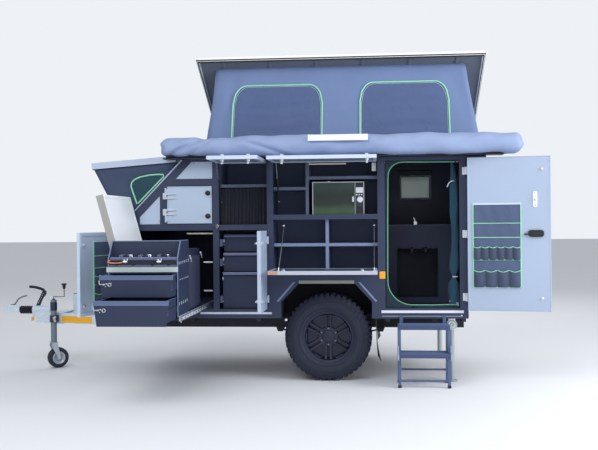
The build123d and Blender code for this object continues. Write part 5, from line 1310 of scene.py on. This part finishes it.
# Wheels: off-road tyres with deep lugs on black six-spoke alloys, each held by six nuts round a plain cap.
# The tread runs down over the shoulder, and two fine rings and short biters mark the sidewall.
WHEEL_X, AXLE_HEIGHT = 3354, 402
tyre_rubber = coat("off_road_tyre_rubber", "#1f2437", 0.72, peel_mm=2, mottle=0.15, bump=0.3)
tread_rubber = coat("tyre_tread_rubber", "#1c2135", 0.8, peel_mm=2, mottle=0.2, bump=0.4)
alloy_black = coat("satin_black_alloy", "#1f243a", 0.3, metallic=0.3, mottle=0.1)
nut_steel = coat("dull_wheel_nut", "#8c8a95", 0.35, metallic=0.8)
# Short arcs of the rim lip take a lighter copy of the black alloy: a painted highlight where the lip catches
# the light.
rim_lip_painted_highlight = coat("painted_highlight_rim_lip", "#323a58", 0.3, metallic=0.4)
LUGS, SPOKES = 46, 6
for name, side in (("near", -1), ("far", 1)):
    body = name + "_wheel"
    hub = (WHEEL_X, side * 727.5, AXLE_HEIGHT)

    def by_hub(back, out, above):
        """A point by the hub: back along the caravan, outwards and up."""
        return place(hub[0] + back, hub[1] + side * out, hub[2] + above)

    def turned(form, profile, steps=72, loop=True):
        """Turns a profile about the axle."""
        form.turned(profile, (0, 0, 0), 1, steps, loop)

    tyre = Form(by_hub)
    turned(tyre, [(106, 229), (117, 238), (124, 246), (130, 268), (132, 300), (129, 330), (124, 356),
                  (118, 372), (104, 386), (50, 391), (-50, 391), (-104, 386), (-118, 372), (-124, 356),
                  (-129, 330), (-132, 300), (-130, 268), (-117, 238), (-106, 229)])
    for radius in (262, 318):
        turned(tyre, [(129, radius), (133, radius + 2), (133, radius + 5), (129, radius + 8)])
    show(name + "_tyre_carcass", tyre, tyre_rubber, body, sharp=30, instead_of=name + "_tyre")
    lug = Form(by_hub)
    for inner, edge, start, end in ((84, 120, -22, 8), (-84, -120, 4, 32)):
        for x0, x1, reach in ((start, start + 13, 1.0), (start + 16, end, 0.94)):
            lug.loft([[(x, inner, 386), (x, inner, 400.5), (x, edge * 0.93, 397),
                       (x, edge * 1.045 * reach, 378), (x, edge * 1.07 * reach, 352),
                       (x, edge * 0.95, 348)] for x in (x0, x1)])
    for block in ([(-24, 14), (4, 6), (20, 26), (14, 66), (-14, 72), (-20, 44)],
                  [(-6, -10), (22, -16), (28, -44), (6, -72), (-20, -64), (-14, -34)]):
        lug.prism(block, 2, 387, 402)
    biter = Form(by_hub)
    for x in (-9, 4):
        biter.box((x, x + 6), (126, 132.4), (334, 350))
    for part, form, rubber in (("tread", lug, tread_rubber), ("biters", biter, tyre_rubber)):
        repeated(name + "_tyre_" + part, form, LUGS, rubber, body, turn=2 * math.pi / LUGS,
                 centre=hub)
    barrel = Form(by_hub)
    turned(barrel, [(100, 229), (103, 240), (111, 240), (114, 234), (108, 214), (92, 206), (50, 198),
                    (-94, 200), (-107, 214), (-107, 229)])
    turned(barrel, [(34, 198), (34, 92), (24, 90), (20, 196)])
    turned(barrel, [(30, 92), (60, 88), (66, 60), (66, 57), (74, 55), (78, 44)], 48, loop=False)
    show(name + "_rim_barrel", barrel, alloy_black, body, sharp=30, bevel=1.5,
         instead_of=name + "_rim")
    spoke = Form(by_hub)
    for way in (-1, 1):
        spoke.loft([[(way * start, low, -radius), (way * end, low, -radius),
                     (way * (end - 3), high, -radius), (way * (start + 3), high, -radius)]
                    for radius, start, end, low, high in ((62, 10, 34, 34, 64), (130, 10, 30, 40, 74),
                    (204, 12, 36, 62, 98))])
    lip = Form(by_hub)
    lip.loft([[(radius * math.cos(turn), out, radius * math.sin(turn))
               for out, radius in ((92, 199), (92, 209), (101, 207), (101, 201))]
              for turn in (math.radians(degrees) for degrees in range(-70, -49, 4))])
    nut = Form(by_hub).turned([(60, 10), (76, 10), (80, 6)], (0, 0, 74), 1, 6)
    for part, form, metal, slot in (("rim_spokes", spoke, alloy_black, "alloy"),
                                    ("rim_lips", lip, rim_lip_painted_highlight, "alloy"),
                                    ("wheel_nuts", nut, nut_steel, "zinc_plate")):
        repeated(f"{name}_{part}", form, SPOKES, metal, body, turn=2 * math.pi / SPOKES, centre=hub)
finish(tyre_rubber, "near_tyre", "far_tyre")
finish(alloy_black, "near_rim", "far_rim")
finish(coat("black_underseal", "#10131d", 0.85, peel_mm=5, mottle=0.2, bump=0.5), "wheel_boxes")
finish(coat("black_axle_paint", "#191d29", 0.5, mottle=0.2), "axle", "leaf_springs")


def flap_sheet(side):
    """A mudflap: held flat at its top and curled back at its lower outer corner."""
    def surface(i, j):
        u, v = i / 10, j / 20
        bend = 44 * (v ** 2.4) * (0.35 + 0.65 * (1 - u))
        return 3793 + bend, side * (898 - 326 * u), 578 - 385 * v
    return surface


flaps = Form()
for side in (-1, 1):
    flaps.sheet(10, 20, flap_sheet(side))
show("mudflap_sheets", flaps, coat("worn_red_black_rubber", "#2d2233", 0.7, mottle=0.2),
     sharp=60, thick=5, instead_of="mudflaps")


# Chassis and drawbar: black-painted rails under the floor, and a galvanised drawbar with reflective tape.
# Spangles show in the zinc, and the tape is stuck along the near rail's outer face.
finish(coat("black_chassis_coat", "#141826", 0.6, mottle=0.15), "chassis_rails", "outriggers")
galvanised, tree, shader, where, cloud = toned("spangled_galvanised_steel", tint("#c6d5e3"),
        tint("#dceaf4"), 3.0, 2.0, {"Metallic": 0.2})
spangle = add(tree, "ShaderNodeTexVoronoi", {"Scale": 140.0}, {"Vector": where}).outputs["Color"]
share = add(tree, "ShaderNodeSeparateColor", (), {"Color": spangle}).outputs
tree.links.new(share[0], shader.inputs["Base Color"].links[0].from_node.inputs[0])
uneven_gloss(tree, shader, share[1], 0.32, 0.55)
finish(galvanised, "drawbar", "coupling", "bearing_housing")


def rail_outside(x):
    """How far out the drawbar rail's outer face stands at an X."""
    return 88 + (x - 290) * 367 / 1158


tape = Form()
for side in (-1, 1):
    tape.prism([(600, side * rail_outside(600)), (952, side * rail_outside(952)),
                (952, side * (rail_outside(952) + 1.6)), (600, side * (rail_outside(600) + 1.6))], 2, 458,
               524)
show("drawbar_reflective_tape", tape,
     coat("yellow_reflective_tape", "#f0b01f", 0.35, peel_mm=6, mottle=0.06))
show("drawbar_post_cap", Form().box((662, 708), (-10, 10), (733, 739)), handle_black, bevel=2)
drawbar_bolts = []
for x in (320, 380, 430):
    drawbar_bolts.append(((x, -62, 558.5), (x, 62, 558.5), (0, 0, 1)))
studs("housing_bolts", drawbar_bolts, 124, 24, zinc)
rail_bolts = [((x, side * (rail_outside(x) + 0.4), 491),
               (x + 240, side * (rail_outside(x + 240) + 0.4), 491), (0, side, 0)) for side in (-1, 1)
              for x in (340, 1000)]
studs("drawbar_rail_bolts", rail_bolts, 120, 20, zinc)
show("coupler_handle", Form().tube([(-20, 0, 612), (28, 0, 624), (46, 0, 648), (64, 0, 676), (104, 0, 700),
                                    (160, 0, 716)], 8, steps=12)
     .turned([(-26, 14), (26, 14)], (0, 0, 612), 1, 16),
     coat("grey_forged_handle", "#77828f", 0.45, metallic=0.5))
finish(coat("black_gaiter_rubber", "#1a1527", 0.6, peel_mm=2), "gaiter")
clips = Form()
for x in (96, 226):
    clips.tube(circle((x, 0, HITCH_HEIGHT), (36, 36), 0, 24), 2.5, closed=True)
show("gaiter_clips", clips, zinc)
show("handbrake_lever", Form().prism([(258, 612), (302, 612), (330, 680), (372, 736), (370, 758),
                                      (348, 770), (326, 758), (300, 700)], 1, -7, 7), handle_black,
     bevel=2, instead_of="handbrake")
show("handbrake_grip", Form().tube([(354, 0, 752), (336, 0, 776), (300, 0, 790), (262, 0, 800),
                                    (224, 0, 806), (190, 0, 808)], 14, steps=14)
     .tube([(366, 0, 748), (352, 0, 758)], 11, steps=10),
     coat("black_grip_rubber", "#14161f", 0.75, peel_mm=3, bump=0.5))
lever_holes = [((286, side * 7.4, 640), (338, side * 7.4, 738), (0, side, 0)) for side in (-1, 1)]
studs("handbrake_lever_holes", lever_holes, 22, 9, zinc)
show("handbrake_link_rod", Form()
     .tube([(366, -4, 750), (420, -60, 720), (470, -120, 650), (520, -150, 560), (600, -120, 500)], 3),
     zinc)


# Jockey wheel: a galvanised tube in a bolted clamp, with a navy cap, a bent crank and a mushroom knob.
# The fork carries a fat solid tyre on a pressed rim.
JOCKEY = (528, -215)
jockey_zinc = coat("dull_jockey_zinc", "#75828c", 0.45, metallic=0.4, mottle=0.12)
show("jockey_tube_and_crank", Form().turned([(262, 30), (690, 30)], (*JOCKEY, 0), 2, 36)
     .tube([(528, -215, 680), (528, -215, 722), (638, -215, 722), (638, -215, 846)], 6, steps=10),
     jockey_zinc, body="jockey_stem", instead_of="jockey_stem")
finish(coat("pale_fork_zinc", "#b3bfca", 0.4, metallic=0.4, mottle=0.1), "jockey_fork")
show("jockey_clamp_band", Form()
     .turned([(465, 30.5), (465, 40), (532, 40), (532, 30.5)], (*JOCKEY, 0), 2, 40, loop=True)
     .prism([(488, -150), (568, -175), (558, -189), (498, -189)], 2, 465, 532),
     coat("black_clamp", "#232838", 0.5, mottle=0.15), bevel=1.5, instead_of="jockey_clamp")
show("jockey_cap", Form().turned([(582, 31), (586, 34.5), (660, 34.5), (668, 31), (672, 16), (700, 13),
                                  (704, 9)], (*JOCKEY, 0), 2, 28),
     coat("navy_plastic_cap", "#1d2749", 0.4, mottle=0.08), body="jockey_stem", bevel=1)
show("jockey_crank_knob", Form()
     .turned([(800, 10), (812, 15), (836, 16), (842, 27), (852, 27), (857, 20)], (638, -215, 0), 2, 24),
     handle_black, body="jockey_stem")
by_jockey = hinged(2, JOCKEY, 35)
show("jockey_tyre", Form(by_jockey).turned([(-42, 62), (-42, 84), (-37, 96), (-26, 102), (26, 102),
                                            (37, 96), (42, 84), (42, 62), (32, 56), (-32, 56)],
                                           (40, 0, 102.5), 1, 48, loop=True), tyre_rubber,
     body="jockey_wheel", sharp=30, instead_of="jockey_wheel")
show("jockey_rim", Form(by_jockey).turned([(-40, 60), (-43, 64), (-45, 58), (-38, 44), (-26, 30),
                                           (-43, 22), (-43, 9), (43, 9), (43, 22), (26, 30), (38, 44),
                                           (45, 58), (43, 64), (40, 60)], (40, 0, 102.5), 1, 48,
                                          loop=True),
     coat("pressed_grey_rim", "#aab4bd", 0.4, metallic=0.4), body="jockey_wheel")
clamp_bolts = Form()
for h in (480, 516):
    clamp_bolts.turned([(-266, 12), (-258, 12), (-258, 7), (-226, 7)], (556, 0, h), 1, 6)
clamp_bolts.tube([(560, -262, 498), (560, -300, 498), (560, -318, 520)], 6)
show("jockey_clamp_bolts", clamp_bolts, zinc, bevel=1)


# Step: two folded treads with raised ribs on splayed square legs, hooked over the sill.
# Bent pale brackets brace the lower tread.
step_paint = coat("blue_grey_step_paint", "#4a5d82", 0.5, mottle=0.08)
step_frame = Form()
step_frame.box((3985, 4440), (-1115, -912), (505, 540))
step_frame.box((3985, 4440), (-1210, -960), (270, 300))
for x in (4005, 4390):
    step_frame.box((x, x + 30), (-912, -900), (505, 612))
for x in (3985, 4415):
    for bar in ([(-1090, 505), (-1115, 505), (-1155, 0), (-1130, 0)],
                [(-915, 505), (-940, 505), (-895, 0), (-870, 0)],
                [(-960, 270), (-1200, 270), (-1200, 300), (-960, 370)]):
        step_frame.prism(bar, 0, x, x + 25)
show("step_frame", step_frame, step_paint, bevel=1.5, instead_of="step")
for level, y, h, count in (("upper", -1110, 538, 13), ("lower", -1205, 298, 16)):
    tread_rib = Form().prism(rounded((y, y + 6), (h, h + 5), 2), 0, 3992, 4433)
    repeated(level + "_tread_ribs", tread_rib, count, step_paint, shift=(0, 15, 0))
show("step_tread_noses", Form().box((3987, 4438), (-1117, -1114), (503, 542))
     .box((3987, 4438), (-1212, -1209), (268, 302)), coat("step_tread_nose", "#37456a", 0.4, mottle=0.06),
     bevel=1.5)
step_rods = Form()
for y, h in ((-890, 120), (-1140, 60)):
    step_rods.tube([(4000, y, h), (4425, y, h)], 9, steps=10)
show("step_cross_rods", step_rods, step_paint)
step_brackets = Form()
for x in (3981, 4438):
    step_brackets.tube([(x + 3, -1128, 360), (x + 3, -1180, 318), (x + 3, -1212, 296),
                        (x + 3, -1222, 250)], 8, steps=10)
show("step_bent_brackets", step_brackets, coat("pale_step_bracket", "#8d9bb8", 0.35, metallic=0.2))
step_feet = Form()
for x in (3985, 4415):
    for y in (-1157, -897):
        step_feet.box((x - 3, x + 28), (y - 3, y + 30), (0, 22))
show("step_rubber_feet", step_feet, seal_rubber, bevel=3)


# Steadies: galvanised drop-down legs, each with a round side plate, a pale ring and a pressed diamond.
# A ribbed foot plate spreads the load on the ground.
steady_zinc = coat("pale_steady_zinc", "#a3afb4", 0.42, metallic=0.35, mottle=0.1)
finish(steady_zinc, "near_steady", "far_steady")
STEADY = (4478, 518)
steady_marks = Form()
for side in (-1, 1):
    steady_marks.tube(circle((STEADY[0], side * 842, STEADY[1]), (38, 38), 1, 32), 4, closed=True)
    for half, depth in ((26, 842), (13, 845)):
        steady_marks.tube([(STEADY[0] + half * dx, side * depth, STEADY[1] + half * 1.1 * dz)
                           for dx, dz in ((0, 1), (0.8, 0), (0, -1), (-0.8, 0))], 3, closed=True)
show("steady_plate_marks", steady_marks, coat("pale_green_zinc", "#9db8ab", 0.4, metallic=0.2))
finish(zinc, "hinge_lugs")


# Rear: tail lamps in red and amber sections, a blank number plate under its lamp, and a black grab handle.
# None of it shows in the photograph.
finish(coat("red_lens", "#8f1517", 0.2, mottle=0.1), "tail_lamps")
for kind, low, high, corner, lens in (("indicators", 1262, 1326, 14, amber),
                                      ("reversing", 1096, 1140, 12, pale_lens)):
    lamps = Form()
    for y in (-700, 700):
        lamps.prism(rounded((y - 36, y + 36), (low, high), corner), 0, 4812, 4816)
    show("tail_lamp_" + kind, lamps, lens, bevel=1)
show("blank_number_plate", Form().prism(rounded((-260, 260), (1090, 1200), 10), 0, 4784, 4788),
     white_plastic, bevel=1)
show("rear_plate_lamp_and_handle", Form().prism(rounded((-60, 60), (1212, 1236), 8), 0, 4784, 4810)
     .tube([(4786, -90, 1500), (4822, -90, 1500), (4826, -60, 1500), (4826, 60, 1500), (4822, 90, 1500),
            (4786, 90, 1500)], 9, steps=10), handle_black, bevel=1)
rear_rivets = [((4784.4, y, 1080), (4784.4, y, 2040), (1, 0, 0)) for y in (-850, 850)]
studs("rear_panel_rivets", rear_rivets, 96, 9, frame_screw)
